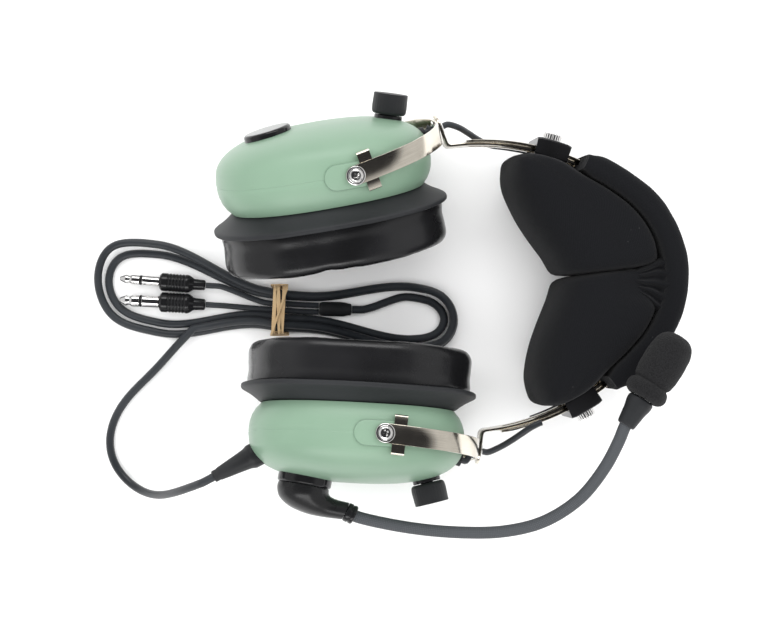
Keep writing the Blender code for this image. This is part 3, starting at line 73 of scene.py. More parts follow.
# yoke, eyelet and strap
STRIP_WIDTH = 9.5 * MM
STRIP = 1.2 * MM
YOKE_REACH = 51.5 * MM
YOKE_CURVE = 2.3
YOKE_FLAT = 11 * MM
TAB_PLACE = 7 * MM
TAB_LENGTH = 6.4 * MM
TAB_SPAN = 19.4 * MM
PIVOT_SHANK = 3.0 * MM
PIVOT_HEAD = 9.4 * MM
EYELET_BORE = 4.0 * MM
EYELET_TUBE = 6.0 * MM
EYELET_FLANGE = 9.0 * MM
EYELET_LIP = 0.8 * MM
STRAP_TOP = 50.5
STRAP_END = 91.5
STRAP_WIDTH = 12 * MM
SLOT_TOP = 52.5
SLOT_END = 86.5
SLOT_WIDTH = 4.2 * MM
PLATE_LEAN = 13.0
PLATE_LENGTH = 17 * MM
SWIVEL_HEIGHT = 10.5 * MM
BEND_RADIUS = 2.0 * MM

# headband, clamp and pad
CROWN_RADIUS = 55 * MM
SIDE_RADIUS = 123 * MM
CROWN_HALF_ANGLE = 47.0
BAND_END = 87.3
BAND_THICKNESS = 0.9 * MM
BAND_HALF_WIDTH = 11 * MM
BAND_SPLIT = 2.6 * MM
STRAP_MIDDLE = -BAND_THICKNESS / 2 - GAP - STRIP / 2
CLAMP_PLACE = 67.0
CLAMP_HALF_ARC = 4.0
CLAMP_WALL = 1.9 * MM
CLAMP_BACK = 4.2 * MM
CLAMP_TOP = 5.0 * MM
CLAMP_LOW = STRAP_MIDDLE - STRIP / 2 - GAP - 0.05 * MM
CLAMP_HIGH = BAND_THICKNESS / 2 + GAP + 0.05 * MM
CLAMP_REACH = BAND_HALF_WIDTH + GAP + 0.05 * MM
SCREW_SHANK = 3.4 * MM
SCREW_HEAD = 10 * MM
SCREW_HEIGHT = 4.6 * MM
SCREW_KNURLS = 24
SLEEVE_END = 60.0
SLEEVE_INSIDE = 8.0 * MM
SLEEVE_OUTSIDE = 3.6 * MM
PAD_HALF_WIDTH = 34 * MM
PAD_SOFTENING = 12              # rounds of smoothing
PAD_INSIDE = [(-1, 2.2), (-10, 16), (-19, 34), (-22.8, 50), (-20.6, 60.5)]
CROSSOVER = 3.2 * MM
CROSSOVER_LEVEL = -15.2 * MM
CROSSOVER_END = 78.0
LEAD_STILL = 11                 # points of a lead beside the eyelet

# controls, boom and microphone
KNOB_PLACE = 27 * MM
KNOB_DIAMETER = 17.5 * MM
KNOB_HEIGHT = 10.5 * MM
KNOB_FLUTES = 32
CONTROL_NUT = 14 * MM
CONTROL_SHAFT = 6 * MM
NUT_HEIGHT = 1.5 * MM
MOUNT_PLACE = -33.9 * MM
MOUNT_DIAMETER = 27 * MM
MOUNT_HEIGHT = 3.6 * MM
CAP_HEIGHT = 2.4 * MM
BOOM_DIAMETER = 6 * MM
BOOM_LEAN = 15.5
COLLAR_DIAMETER = 9.6 * MM
COLLAR_LENGTH = 5 * MM
BOOT_LENGTH = 15 * MM
MUFF_LENGTH = 35 * MM
MUFF_RADIUS = 10.4 * MM
MIC_LENGTH = 15 * MM
BOOM_ROUTE = [(16.4, 43.6, -2.5), (41.2, 45.1, -8.5), (64.6, 43.6, -16), (82.5, 38, -24.5),
              (97.5, 26.5, -34.5),
              (107.2, 11.2, -44.5), (112, -1.5, -51.5)]
MUFF_START = Vector((121.4 * MM, -22.3 * MM, -57 * MM))
MIC_DIRECTION = Vector((0.48, -0.87, -0.12)).normalized()
ELBOW = [((12.8, 0), (-12.8, 0), 12.8), ((12.9, 1.2), (-12.9, 3.0), 12.7), ((13.2, 2.0), (-10.8, 7.5), 11.8),
         ((13.9, 2.7), (-5, 11.2), 10), ((15, 3.2), (3.5, 13.2), 8), ((17.5, 3.8), (11.5, 13.5), 6),
         ((23.9, 4.2), (21.5, 13.0), 4.7)]

# cords, as they lie on the table
CORD = 4.2 * MM
LEAD = 3.0 * MM
CORD_STEP = 1.8 * MM
CORD_SMOOTHING = 60             # rounds that even out the free run
TABLE_GAP = 0.1 * MM
RELIEF_LENGTH = 21.5 * MM
RELIEF_DIAMETER = 12.4 * MM
RELIEF_TIP = 6.0 * MM
RELIEF_LEVEL = 12.4 * MM
RELIEF_PROUD = 2.05 * MM
RELIEF_TURN = 149.0
GROMMET_SEAT = 8.5 * MM
LEAD_TURN = ((4.8, 9.2), (3.6, 7.3), (3.5, 4.4))
LAY_CENTRE = (57.2, 22.0)
WAIST = -87.0
HANK_MIDDLE = -87.4
HANK_REACH = 94.5
HANK_START = 244.0
HANK_END = 1108.0
HANK_PITCH = 5.35
CORD_DROP = [(-8.3, -4.1, 60), (-14.3, -6.5, 54.5), (-20.8, -9.3, 44.5), (-27.3, -11.7, 32)]
CORD_ROUTE = [(-150.5, -90.7, 19.5), (-157, -90.8, 9.5), (-163.7, -88.8, 3.6),
              (-171, -82.5, 2.4), (-176.3, -75.4, 2.4), (-178.4, -62.7, 2.4), (-173.7, -48.4, 2.4),
              (-165.2, -37.3, 2.4), (-155, -29, 2.4), (-147, -20, 4.2), (-140, -11.5, 6.7), (-134, -6.3, 7.2)]
HANK_TAIL = [(-21, 12.4, 2.3), (-31, 9.6, 2.9), (-38, 7.0, 4.2)]
JUNCTION = ((-49, 5.8, 4.8), (-66, 6.2, 4.8))
JUNCTION_DIAMETER = 7.6 * MM
PLUGS = {"phone": ((-126, 8.4), (-171, 11.0), 10.5, 6.35, -1),
         "mic": ((-126, 18.6), (-171, 22.2), 9.5, 5.23, 1)}
PLUG_BODY = 24 * MM
TIE_WIDTH = 7 * MM

# camera: straight down, from the photograph's perspective
CAMERA_PLACE = Vector((-34.3, -3.4, 917)) * MM
CAMERA_FOCAL = 1730             # pixels
IMAGE_WIDTH = 760
SENSOR = 36.0

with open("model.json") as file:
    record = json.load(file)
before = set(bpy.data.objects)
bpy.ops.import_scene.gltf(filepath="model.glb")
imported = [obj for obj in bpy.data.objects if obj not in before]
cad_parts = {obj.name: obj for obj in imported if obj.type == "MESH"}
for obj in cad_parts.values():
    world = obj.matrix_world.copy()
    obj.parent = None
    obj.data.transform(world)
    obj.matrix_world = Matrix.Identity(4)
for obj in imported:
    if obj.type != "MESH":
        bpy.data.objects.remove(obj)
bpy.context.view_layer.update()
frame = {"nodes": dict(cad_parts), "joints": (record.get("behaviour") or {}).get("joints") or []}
joints = {joint["name"]: joint for joint in frame["joints"]}


# ---- frames of the moving groups, read from the joints ----
def axes(origin, x, y):
    """A matrix with the given origin and first two axes."""
    x = Vector(x).normalized()
    z = x.cross(Vector(y)).normalized()
    matrix = Matrix((x, z.cross(x), z)).transposed().to_4x4()
    matrix.translation = Vector(origin)
    return matrix


def turn(angle, axis):
    return Matrix.Rotation(math.radians(angle), 4, axis)


def polar(radius, angle):
    """Point at a radius and an angle in degrees."""
    a = math.radians(angle)
    return Vector((radius * math.cos(a), radius * math.sin(a), 0))


def joint_place(name):
    return Vector(joints[name]["pos_m"])


def joint_axis(name):
    return Vector(joints[name]["axis"]).normalized()


def arc_centre():
    """Centre of the band's side arc, in the band's frame."""
    return polar(CROWN_RADIUS - SIDE_RADIUS, CROWN_HALF_ANGLE)


def band_frame():
    """Origin at the middle of the crown arc, Y to the right ear, Z to the front."""
    right, left = joint_place("right_slide"), joint_place("left_slide")
    y = (left - right).normalized()
    z = joint_axis("right_slide")
    x = y.cross(z).normalized()
    return axes((left + right) / 2 - x * arc_centre().x, x, y)


BAND = band_frame()
SIDE = {"right": BAND, "left": BAND @ turn(180, "X")}


def swivel_frame(side):
    """Frame of the eyelet: X towards the crown, through the strap's plate."""
    out = polar(1, STRAP_END + PLATE_LEAN)
    corner = polar(SIDE_RADIUS + STRAP_MIDDLE, STRAP_END)
    place = axes(corner + out * SWIVEL_HEIGHT, (out.y, -out.x, 0), out)
    return SIDE[side] @ Matrix.Translation(arc_centre()) @ place


def yoke_frame(side):
    """Origin on the tilt pivot, X towards the eyelet, Z along the pivot."""
    x, z = joint_axis(side + "_swivel"), joint_axis(side + "_tilt")
    return axes(joint_place(side + "_tilt"), x, z.cross(x))


def dome_seat(place):
    """Point on the dome, direction along the shell and outward direction."""
    half = DOME_LENGTH / 2
    share = (place - DOME_SHIFT) / half
    rest = 1 - abs(share) ** DOME_CROWN
    slope = (-math.copysign(abs(share) ** (DOME_CROWN - 1), share)
             * DOME_BACK / half * rest ** (1 / DOME_CROWN - 1))
    along = Vector((1, slope, 0)).normalized()
    return Vector((place, DOME_BACK * rest ** (1 / DOME_CROWN), 0)), along, Vector((-along.y, along.x, 0))


def cup_frame(side):
    """Origin on the tilt pivot, X along the cup, Y out of the dome's back."""
    pivot, z = joint_place(side + "_tilt"), joint_axis(side + "_tilt")
    knob = dome_seat(KNOB_PLACE)[0]
    lean = Matrix.Rotation(-math.atan2(knob.y, knob.x), 4, z)
    x = lean.to_3x3() @ (joint_place(side + "_volume_turn") - pivot)
    return axes(pivot, x, z.cross(x))


def seat_frame(place):
    """Frame on the dome at a place along the cup: Z straight out of the shell."""
    seat, along, out = dome_seat(place)
    return axes(seat, along, out) @ turn(-90, "X")


def along_frame(origin, direction):
    """A frame whose Z axis is the direction."""
    z = Vector(direction).normalized()
    x = Vector((0, 0, 1)) if abs(z.z) < 0.9 else Vector((1, 0, 0))
    y = z.cross(x).normalized()
    return axes(origin, y.cross(z), y)


CUP = {side: cup_frame(side) for side in ("right", "left")}
YOKE = {side: yoke_frame(side) for side in ("right", "left")}
SWIVEL = {side: swivel_frame(side) for side in ("right", "left")}


# ---- mesh tools ----
def skin(name, rings, closed=False, ends="fan"):
    """Mesh through equal rings of points; its UVs are metres round and along it."""
    count = len(rings[0])
    verts = [Vector(v) for ring in rings for v in ring]
    around = []
    for ring in rings:
        run = [0.0]
        for j in range(count):
            run.append(run[-1] + (Vector(ring[(j + 1) % count]) - Vector(ring[j])).length)
        around.append(run)
    widest = max(around, key=lambda run: run[-1])
    along = [0.0]
    for i in range(len(rings)):
        step = Vector(rings[(i + 1) % len(rings)][0]) - Vector(rings[i][0])
        along.append(along[-1] + step.length)
    faces, places = [], []
    for i in range(len(rings) if closed else len(rings) - 1):
        low, high = i * count, ((i + 1) % len(rings)) * count
        for j in range(count):
            k = (j + 1) % count
            faces.append((low + j, low + k, high + k, high + j))
            places.append([(widest[j], along[i]), (widest[j + 1], along[i]),
                           (widest[j + 1], along[i + 1]), (widest[j], along[i + 1])])
    if not closed:
        for first, v in ((0, 0.0), ((len(rings) - 1) * count, along[-2])):
            if ends == "fan":
                middle = sum((verts[first + j] for j in range(count)), Vector()) / count
                verts.append(middle)
                for j in range(count):
                    faces.append((first + j, first + (j + 1) % count, len(verts) - 1))
                    places.append([(widest[j], v), (widest[j + 1], v), (widest[j], v + 0.001)])
            elif ends == "flat":
                faces.append(tuple(range(first, first + count)))
                places.append([(widest[j], v) for j in range(count)])
    bm = bmesh.new()
    made = [bm.verts.new(v) for v in verts]
    layer = bm.loops.layers.uv.new("metres")
    for face, uvs in zip(faces, places):
        new = bm.faces.new([made[i] for i in face])
        for loop, uv in zip(new.loops, uvs):
            loop[layer].uv = uv
    bmesh.ops.recalc_face_normals(bm, faces=bm.faces)
    mesh = bpy.data.meshes.new(name)
    bm.to_mesh(mesh)
    bm.free()
    return mesh


def turned(name, profile, segments=64, closed=False, size=None):
    """Turn (radius, height) rows about Z; size(angle, row) scales the radius."""
    rings = []
    for row, (radius, height) in enumerate(profile):
        ring = []
        for i in range(segments):
            a = 2 * math.pi * i / segments
            r = radius * (size(a, row) if size else 1)
            ring.append(Vector((r * math.cos(a), r * math.sin(a), height)))
        rings.append(ring)
    return skin(name, rings, closed)


def rounded(profile, radius, steps=4):
    """Round the corners of an open profile of (radius, height) rows."""
    rows = [Vector(p) for p in profile]
    out = [tuple(rows[0])]
    for before, corner, after in zip(rows[:-2], rows[1:-1], rows[2:]):
        back, ahead = before - corner, after - corner
        reach = min(radius, back.length * 0.48, ahead.length * 0.48)
        a, b = corner + back.normalized() * reach, corner + ahead.normalized() * reach
        for i in range(steps + 1):
            t = i / steps
            out.append(tuple(a * (1 - t) ** 2 + corner * 2 * t * (1 - t) + b * t ** 2))
    return out + [tuple(rows[-1])]


def oval(length, width, power, segments):
    points = []
    for angle in np.linspace(0, 2 * math.pi, segments, endpoint=False):
        c, s = math.cos(angle), math.sin(angle)
        points.append((length / 2 * math.copysign(abs(c) ** (2 / power), c),
                       width / 2 * math.copysign(abs(s) ** (2 / power), s)))
    return points


def obround(tail, nose, width, steps=14):
    r = width / 2
    points = []
    for centre, start in ((nose - r, -90), (r - tail, 90)):
        for a in np.radians(np.linspace(start, start + 180, steps)):
            points.append((centre + r * math.cos(a), r * math.sin(a)))
    return points


def smooth_curve(points, step, ends=None):
    """Evenly spaced points along a smooth curve through the given points."""
    pts = np.array(points, dtype=float)
    knots = np.concatenate([[0], np.cumsum(np.linalg.norm(np.diff(pts, axis=0), axis=1) ** 0.5)])
    tangents = np.zeros_like(pts)
    for i in range(1, len(pts) - 1):
        before = (pts[i] - pts[i - 1]) / (knots[i] - knots[i - 1])
        after = (pts[i + 1] - pts[i]) / (knots[i + 1] - knots[i])
        share = (knots[i] - knots[i - 1]) / (knots[i + 1] - knots[i - 1])
        tangents[i] = before * (1 - share) + after * share
    tangents[0] = (pts[1] - pts[0]) / (knots[1] - knots[0])
    tangents[-1] = (pts[-1] - pts[-2]) / (knots[-1] - knots[-2])
    if ends is not None:
        for place, direction in zip((0, -1), ends):
            unit = np.array(direction, dtype=float)
            tangents[place] = unit / np.linalg.norm(unit) * np.linalg.norm(tangents[place])
    fine = []
    for i in range(len(pts) - 1):
        width = knots[i + 1] - knots[i]
        for t in np.linspace(0, 1, 24, endpoint=False):
            fine.append((2 * t ** 3 - 3 * t ** 2 + 1) * pts[i]
                        + (t ** 3 - 2 * t ** 2 + t) * width * tangents[i]
                        + (3 * t ** 2 - 2 * t ** 3) * pts[i + 1]
                        + (t ** 3 - t ** 2) * width * tangents[i + 1])
    fine.append(pts[-1])
    fine = np.array(fine)
    run = np.concatenate([[0], np.cumsum(np.linalg.norm(np.diff(fine, axis=0), axis=1))])
    even = np.linspace(0, run[-1], max(2, int(round(run[-1] / step)) + 1))
    return np.stack([np.interp(even, run, fine[:, k]) for k in range(3)], axis=1)


def cord_line(route, first, last, diameter, step):
    """A cord's points: smooth between its ends, which run straight for one diameter."""
    heading, leaving = np.array(Vector(first).normalized()), np.array(Vector(last).normalized())
    start, end = np.array(route[0]), np.array(route[-1])
    inner = [start + heading * diameter] + [np.array(p) for p in route[1:-1]] + [end - leaving * diameter]
    return np.vstack([[start], smooth_curve(inner, step, (heading, leaving)), [end]])


def pipe(name, points, diameter, sides=24, size=None):
    """A tube through the points, square at its ends."""
    pts = [Vector(p) for p in points]
    rings = []
    normal = None
    for i, p in enumerate(pts):
        ahead = pts[min(i + 1, len(pts) - 1)] - p
        behind = p - pts[max(i - 1, 0)]
        direction = (ahead.normalized() + behind.normalized()).normalized()
        if normal is None:
            normal = direction.orthogonal().normalized()
        normal = (normal - direction * normal.dot(direction)).normalized()
        other = direction.cross(normal)
        r = diameter / 2 * (size(i / (len(pts) - 1)) if size else 1)
        rings.append([p + (normal * math.cos(a) + other * math.sin(a)) * r
                      for a in np.linspace(0, 2 * math.pi, sides, endpoint=False)])
    return skin(name, rings)


def combine(mesh, tools):
    """Union or difference with each (operation, mesh) in turn."""
    work = bpy.data.objects.new("work", mesh)
    bpy.context.collection.objects.link(work)
    helpers = [work]
    for operation, tool_mesh in tools:
        tool = bpy.data.objects.new("tool", tool_mesh)
        bpy.context.collection.objects.link(tool)
        helpers.append(tool)
        modifier = work.modifiers.new("cut", "BOOLEAN")
        modifier.operation, modifier.solver, modifier.object = operation, "EXACT", tool
    graph = bpy.context.evaluated_depsgraph_get()
    result = bpy.data.meshes.new_from_object(work.evaluated_get(graph))
    for helper in helpers:
        bpy.data.objects.remove(helper, do_unlink=True)
    bm = bmesh.new()
    bm.from_mesh(result)
    bmesh.ops.remove_doubles(bm, verts=bm.verts, dist=0.002 * MM)
    bm.to_mesh(result)
    bm.free()
    return result


def moved(mesh, matrix):
    mesh.transform(matrix)
    return mesh


def piece(name, mesh, finish, body=None, nodes=(), sharp=40, bevel=0.0):
    """Put a mesh in the scene with its finish and that finish's slot; bevel rounds its sharp edges."""
    mesh.materials.clear()
    mesh.materials.append(finish)
    for vertex in mesh.vertices:
        vertex.co.z = max(vertex.co.z, 0)       # rests flat on the table
    for polygon in mesh.polygons:
        polygon.use_smooth = True
    mesh.set_sharp_from_angle(angle=math.radians(sharp))
    obj = bpy.data.objects.new(name, mesh)
    bpy.context.collection.objects.link(obj)
    if bevel:
        modifier = obj.modifiers.new("edges", "BEVEL")
        modifier.width, modifier.segments = bevel, 2
        modifier.limit_method, modifier.angle_limit = "ANGLE", math.radians(sharp)
        modifier.harden_normals = True
    if body:
        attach(obj, body)
    if nodes:
        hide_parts(*nodes)
    return obj


def refinish(node, finish):
    """Give a CAD node that stays its finish."""
    materials = frame["nodes"][node].data.materials
    materials.clear()
    materials.append(finish)


def ease(t):
    t = min(1.0, max(0.0, t))
    return t * t * (3 - 2 * t)


def ripple(place, size, seed=0.0):
    """Smooth noise from -1 to 1 at a place, with lumps of the given size."""
    return noise.noise(Vector(place) / size + Vector((seed, seed * 1.7, seed * 0.6)))


# ---- shared surface effects ----
def new_group(name, inputs, outputs):
    """An empty node group with float or vector inputs and float outputs."""
    group = bpy.data.node_groups.new(name, "ShaderNodeTree")
    for label, kind, value in inputs:
        socket = group.interface.new_socket(label, in_out="INPUT", socket_type="NodeSocket" + kind)
        if value is not None:
            socket.default_value = value
    for label in outputs:
        group.interface.new_socket(label, in_out="OUTPUT", socket_type="NodeSocketFloat")
    return group, group.nodes.new("NodeGroupInput"), group.nodes.new("NodeGroupOutput")


def calc(tree, operation, *values):
    """A Math node fed with sockets or numbers; returns its output."""
    node = tree.nodes.new("ShaderNodeMath")
    node.operation = operation
    for socket, value in zip(node.inputs, values):
        if isinstance(value, bpy.types.NodeSocket):
            tree.links.new(value, socket)
        else:
            socket.default_value = value
    return node.outputs[0]


def mottled(tree, vector, scale, detail, roughness=0.5):
    """Noise at so many lumps to the metre; returns its value."""
    node = tree.nodes.new("ShaderNodeTexNoise")
    tree.links.new(vector, node.inputs["Vector"])
    if isinstance(scale, bpy.types.NodeSocket):
        tree.links.new(scale, node.inputs["Scale"])
    else:
        node.inputs["Scale"].default_value = scale
    node.inputs["Detail"].default_value = detail
    node.inputs["Roughness"].default_value = roughness
    return node.outputs["Fac"]


def fine_grain():
    """Moulded grain: small lumps, with a broad unevenness under them."""
    group, given, out = new_group("fine_grain", [("Vector", "Vector", None), ("Scale", "Float", 900.0)],
                                  ["Height", "Tone"])
    small = mottled(group, given.outputs["Vector"], given.outputs["Scale"], 3.0)
    broad = mottled(group, given.outputs["Vector"], 28.0, 4.0)
    group.links.new(small, out.inputs["Height"])
    group.links.new(broad, out.inputs["Tone"])
    return group


def brush_lines():
    """Fine lines along a strip, as rolling and brushing leave on steel."""
    group, given, out = new_group("brush_lines", [("Vector", "Vector", None), ("Across", "Float", 5200.0),
                                                  ("Along", "Float", 45.0)], ["Height", "Tone"])
    split = group.nodes.new("ShaderNodeSeparateXYZ")
    group.links.new(given.outputs["Vector"], split.inputs[0])
    join = group.nodes.new("ShaderNodeCombineXYZ")
    group.links.new(calc(group, "MULTIPLY", split.outputs[0], given.outputs["Across"]), join.inputs[0])
    group.links.new(calc(group, "MULTIPLY", split.outputs[1], given.outputs["Along"]), join.inputs[1])
    fine = mottled(group, join.outputs[0], 1.0, 2.0)
    broad = mottled(group, given.outputs["Vector"], 120.0, 3.0)
    group.links.new(fine, out.inputs["Height"])
    group.links.new(calc(group, "ADD", calc(group, "MULTIPLY", fine, 0.6),
                         calc(group, "MULTIPLY", broad, 0.4)),
                    out.inputs["Tone"])
    return group


def crossed_threads():
    """Threads passing over and under each other, from UVs in metres."""
    group, given, out = new_group("crossed_threads", [("Vector", "Vector", None), ("Pitch", "Float", 0.0006),
                                                      ("Slant", "Float", 0.0)], ["Height", "Tone"])
    split = group.nodes.new("ShaderNodeSeparateXYZ")
    group.links.new(given.outputs["Vector"], split.inputs[0])
    u, v = split.outputs[0], split.outputs[1]
    lean_u = calc(group, "ADD", u, calc(group, "MULTIPLY", v, given.outputs["Slant"]))
    lean_v = calc(group, "SUBTRACT", v, calc(group, "MULTIPLY", u, given.outputs["Slant"]))
    waves = []
    for place in (lean_u, lean_v):
        turns = calc(group, "MULTIPLY", calc(group, "DIVIDE", place, given.outputs["Pitch"]), math.pi)
        waves.append(calc(group, "SINE", turns))
    both = calc(group, "MULTIPLY", waves[0], waves[1])
    over = calc(group, "ABSOLUTE", waves[0])
    under = calc(group, "ABSOLUTE", waves[1])
    height = calc(group, "ADD", calc(group, "MULTIPLY", calc(group, "ADD", over, under), 0.35),
                  calc(group, "MULTIPLY", both, 0.3))
    group.links.new(height, out.inputs["Height"])
    fuzz = mottled(group, given.outputs["Vector"], 2600.0, 2.0)
    group.links.new(calc(group, "MULTIPLY_ADD", height, 0.6, calc(group, "MULTIPLY", fuzz, 0.4)),
                    out.inputs["Tone"])
    return group


def lint():
    """A few pale specks of dust and lint."""
    group, given, out = new_group("lint", [("Vector", "Vector", None), ("Scale", "Float", 260.0),
                                           ("Amount", "Float", 0.06)], ["Mask"])
    cells = group.nodes.new("ShaderNodeTexVoronoi")
    group.links.new(given.outputs["Vector"], cells.inputs["Vector"])
    group.links.new(given.outputs["Scale"], cells.inputs["Scale"])
    near = calc(group, "LESS_THAN", cells.outputs["Distance"], given.outputs["Amount"])
    patchy = calc(group, "GREATER_THAN", mottled(group, given.outputs["Vector"], 60.0, 2.0), 0.6)
    group.links.new(calc(group, "MULTIPLY", near, patchy), out.inputs["Mask"])
    return group


GRAIN = fine_grain()
BRUSHED = brush_lines()
THREADS = crossed_threads()
LINT = lint()


def finish(name, roughness, metallic=0.0, **fixed):
    """A material with its shader; fixed gives sockets that are the same all over."""
    material = bpy.data.materials.new(name)
    material.use_nodes = True
    shader = material.node_tree.nodes["Principled BSDF"]
    shader.inputs["Roughness"].default_value = roughness
    shader.inputs["Metallic"].default_value = metallic
    for label, value in fixed.items():
        shader.inputs[label.replace("_", " ")].default_value = value
    return material, material.node_tree, shader


def effect(tree, group, **values):
    """Place a shared effect on UVs in metres or on the piece's own coordinates."""
    node = tree.nodes.new("ShaderNodeGroup")
    node.node_tree = group
    source = tree.nodes.new("ShaderNodeTexCoord")
    where = "UV" if group in (BRUSHED, THREADS) else "Object"
    tree.links.new(source.outputs[where], node.inputs["Vector"])
    for label, value in values.items():
        node.inputs[label].default_value = value
    return node


def tint(tree, shader, fac, low, high, start=0.35, end=0.65):
    """Colour between two tones by a mask."""
    ramp = tree.nodes.new("ShaderNodeValToRGB")
    ramp.color_ramp.elements[0].position, ramp.color_ramp.elements[1].position = start, end
    ramp.color_ramp.elements[0].color, ramp.color_ramp.elements[1].color = (*low, 1), (*high, 1)
    tree.links.new(fac, ramp.inputs["Fac"])
    tree.links.new(ramp.outputs["Color"], shader.inputs["Base Color"])
    return ramp


def relief(tree, shader, height, depth, before=None):
    """Bump of a real depth in metres, after any bump before it."""
    bump = tree.nodes.new("ShaderNodeBump")
    bump.inputs["Distance"].default_value = depth
    tree.links.new(height, bump.inputs["Height"])
    if before is not None:
        tree.links.new(before, bump.inputs["Normal"])
    tree.links.new(bump.outputs["Normal"], shader.inputs["Normal"])
    return bump.outputs["Normal"]


def varied_roughness(tree, shader, fac, low, high):
    spread = tree.nodes.new("ShaderNodeMapRange")
    spread.inputs["From Min"].default_value, spread.inputs["From Max"].default_value = 0.3, 0.7
    spread.inputs["To Min"].default_value, spread.inputs["To Max"].default_value = low, high
    tree.links.new(fac, spread.inputs["Value"])
    tree.links.new(spread.outputs["Result"], shader.inputs["Roughness"])


def surfaced(name, group, sizes, roughness, low, high, depth, spread=None, stops=(0.35, 0.65), metallic=0.0,
             **fixed):
    """A finish from one shared effect: two tones, varied roughness and a relief of a depth in millimetres."""
    material, tree, shader = finish(name, roughness, metallic, **fixed)
    marks = effect(tree, group, **sizes)
    tint(tree, shader, marks.outputs["Tone"], low, high, *stops)
    if spread:
        varied_roughness(tree, shader, marks.outputs["Tone"], *spread)
    relief(tree, shader, marks.outputs["Height"], depth * MM)
    return material


def rubber_finish(name, low, high, rough_low, rough_high, depth=0.03):
    """Black rubber, from matte to half glossy."""
    return surfaced(name, GRAIN, {"Scale": 2200.0}, rough_high, low, high, depth, (rough_low, rough_high),
                    Specular_IOR_Level=0.3)


def cloth_finish():
    """Black knitted cover of the head pad, with a little lint."""
    material, tree, shader = finish("black_knit", 0.95, Sheen_Weight=0.04, Sheen_Roughness=0.6,
                                    Specular_IOR_Level=0.06)
    threads = effect(tree, THREADS, Pitch=0.00055, Slant=0.35)
    specks = effect(tree, LINT, Scale=330.0, Amount=0.05)
    ramp = tint(tree, shader, threads.outputs["Tone"], (0.0036, 0.0038, 0.0046), (0.0095, 0.0099, 0.0115),
                0.2, 0.8)
    mix = tree.nodes.new("ShaderNodeMix")
    mix.data_type = "RGBA"
    tree.links.new(specks.outputs["Mask"], mix.inputs["Factor"])
    tree.links.new(ramp.outputs["Color"], mix.inputs["A"])
    mix.inputs["B"].default_value = (0.09, 0.09, 0.09, 1)
    tree.links.new(mix.outputs["Result"], shader.inputs["Base Color"])
    grain = effect(tree, GRAIN, Scale=420.0)
    soft = relief(tree, shader, grain.outputs["Height"], 0.12 * MM)
    relief(tree, shader, threads.outputs["Height"], 0.12 * MM, soft)
    return material


def foam_finish():
    """Open-celled foam of the muff, the ear filter and the liner."""
    material, tree, shader = finish("open_foam", 1.0, Sheen_Weight=0.05, Sheen_Roughness=0.7,
                                    Specular_IOR_Level=0.06)
    cells = tree.nodes.new("ShaderNodeTexVoronoi")
    source = tree.nodes.new("ShaderNodeTexCoord")
    tree.links.new(source.outputs["Object"], cells.inputs["Vector"])
    cells.inputs["Scale"].default_value = 1500.0
    tint(tree, shader, cells.outputs["Distance"], (0.0035, 0.0035, 0.004), (0.011, 0.011, 0.0118),
         0.1, 0.6)
    relief(tree, shader, cells.outputs["Distance"], 0.3 * MM)
    return material


# sage green moulded shell, satin
SHELL = surfaced("sage_shell", GRAIN, {"Scale": 1500.0}, 0.4, (0.171, 0.267, 0.191), (0.185, 0.286, 0.205),
                 0.02, (0.34, 0.46), Specular_IOR_Level=0.45)
# rolled spring steel with a warm nickel tone
STEEL = surfaced("brushed_nickel", BRUSHED, {}, 0.24, (0.60, 0.555, 0.475), (0.74, 0.69, 0.60),
                 0.006, (0.12, 0.2), metallic=1.0, Anisotropic=0.35)
# plated screws, nuts, eyelets and plug pins
CHROME = surfaced("bright_plate", GRAIN, {"Scale": 600.0}, 0.1, (0.72, 0.71, 0.70), (0.86, 0.855, 0.85),
                  0.004, (0.07, 0.16), metallic=1.0)
# glossy black vinyl of the ear cushions
VINYL = surfaced("gloss_vinyl", GRAIN, {"Scale": 1100.0}, 0.24, (0.006, 0.006, 0.0065), (0.010, 0.010, 0.011),
                 0.035, (0.2, 0.34), Specular_IOR_Level=0.34, Coat_Weight=0.06, Coat_Roughness=0.12)
FLANGE = rubber_finish("flange_rubber", (0.0135, 0.0143, 0.0158), (0.0215, 0.0227, 0.0247), 0.5, 0.66)
RUBBER = rubber_finish("soft_rubber", (0.010, 0.0105, 0.0115), (0.018, 0.0185, 0.020), 0.42, 0.6)
PLASTIC = rubber_finish("gloss_plastic", (0.007, 0.007, 0.0075), (0.011, 0.011, 0.012), 0.1, 0.2, 0.008)
CLOTH = cloth_finish()
FOAM = foam_finish()
ELBOW_RUBBER = rubber_finish("elbow_rubber", (0.008, 0.008, 0.0085), (0.013, 0.013, 0.014), 0.24, 0.36, 0.012)
# dark blue-grey cable jacket, slightly dull
CABLE = surfaced("cable_jacket", GRAIN, {"Scale": 1300.0}, 0.5, (0.0125, 0.0145, 0.0175), (0.024, 0.027, 0.031),
                 0.02, (0.38, 0.55), Specular_IOR_Level=0.45)
# woven cover of the flexible boom
BRAID = surfaced("boom_braid", THREADS, {"Pitch": 0.0009, "Slant": 1.0}, 0.7, (0.022, 0.025, 0.029),
                 (0.086, 0.092, 0.100), 0.16, stops=(0.15, 0.75), Specular_IOR_Level=0.4)
# tan rubber of the tie
TAN = surfaced("tan_band", GRAIN, {"Scale": 1800.0}, 0.55, (0.46, 0.30, 0.145), (0.60, 0.43, 0.24),
               0.03, Specular_IOR_Level=0.35)


# ---- ear cups, in the frame of the tilt pivot ----
ROUND = 144                     # points round a dome, flange or cushion


def dome_scale(y, grow=0.0):
    depth = (DOME_BACK if y > 0 else DOME_FRONT) + grow
    return (1 - min(1.0, abs(y) / depth) ** DOME_CROWN) ** (1 / DOME_CROWN)


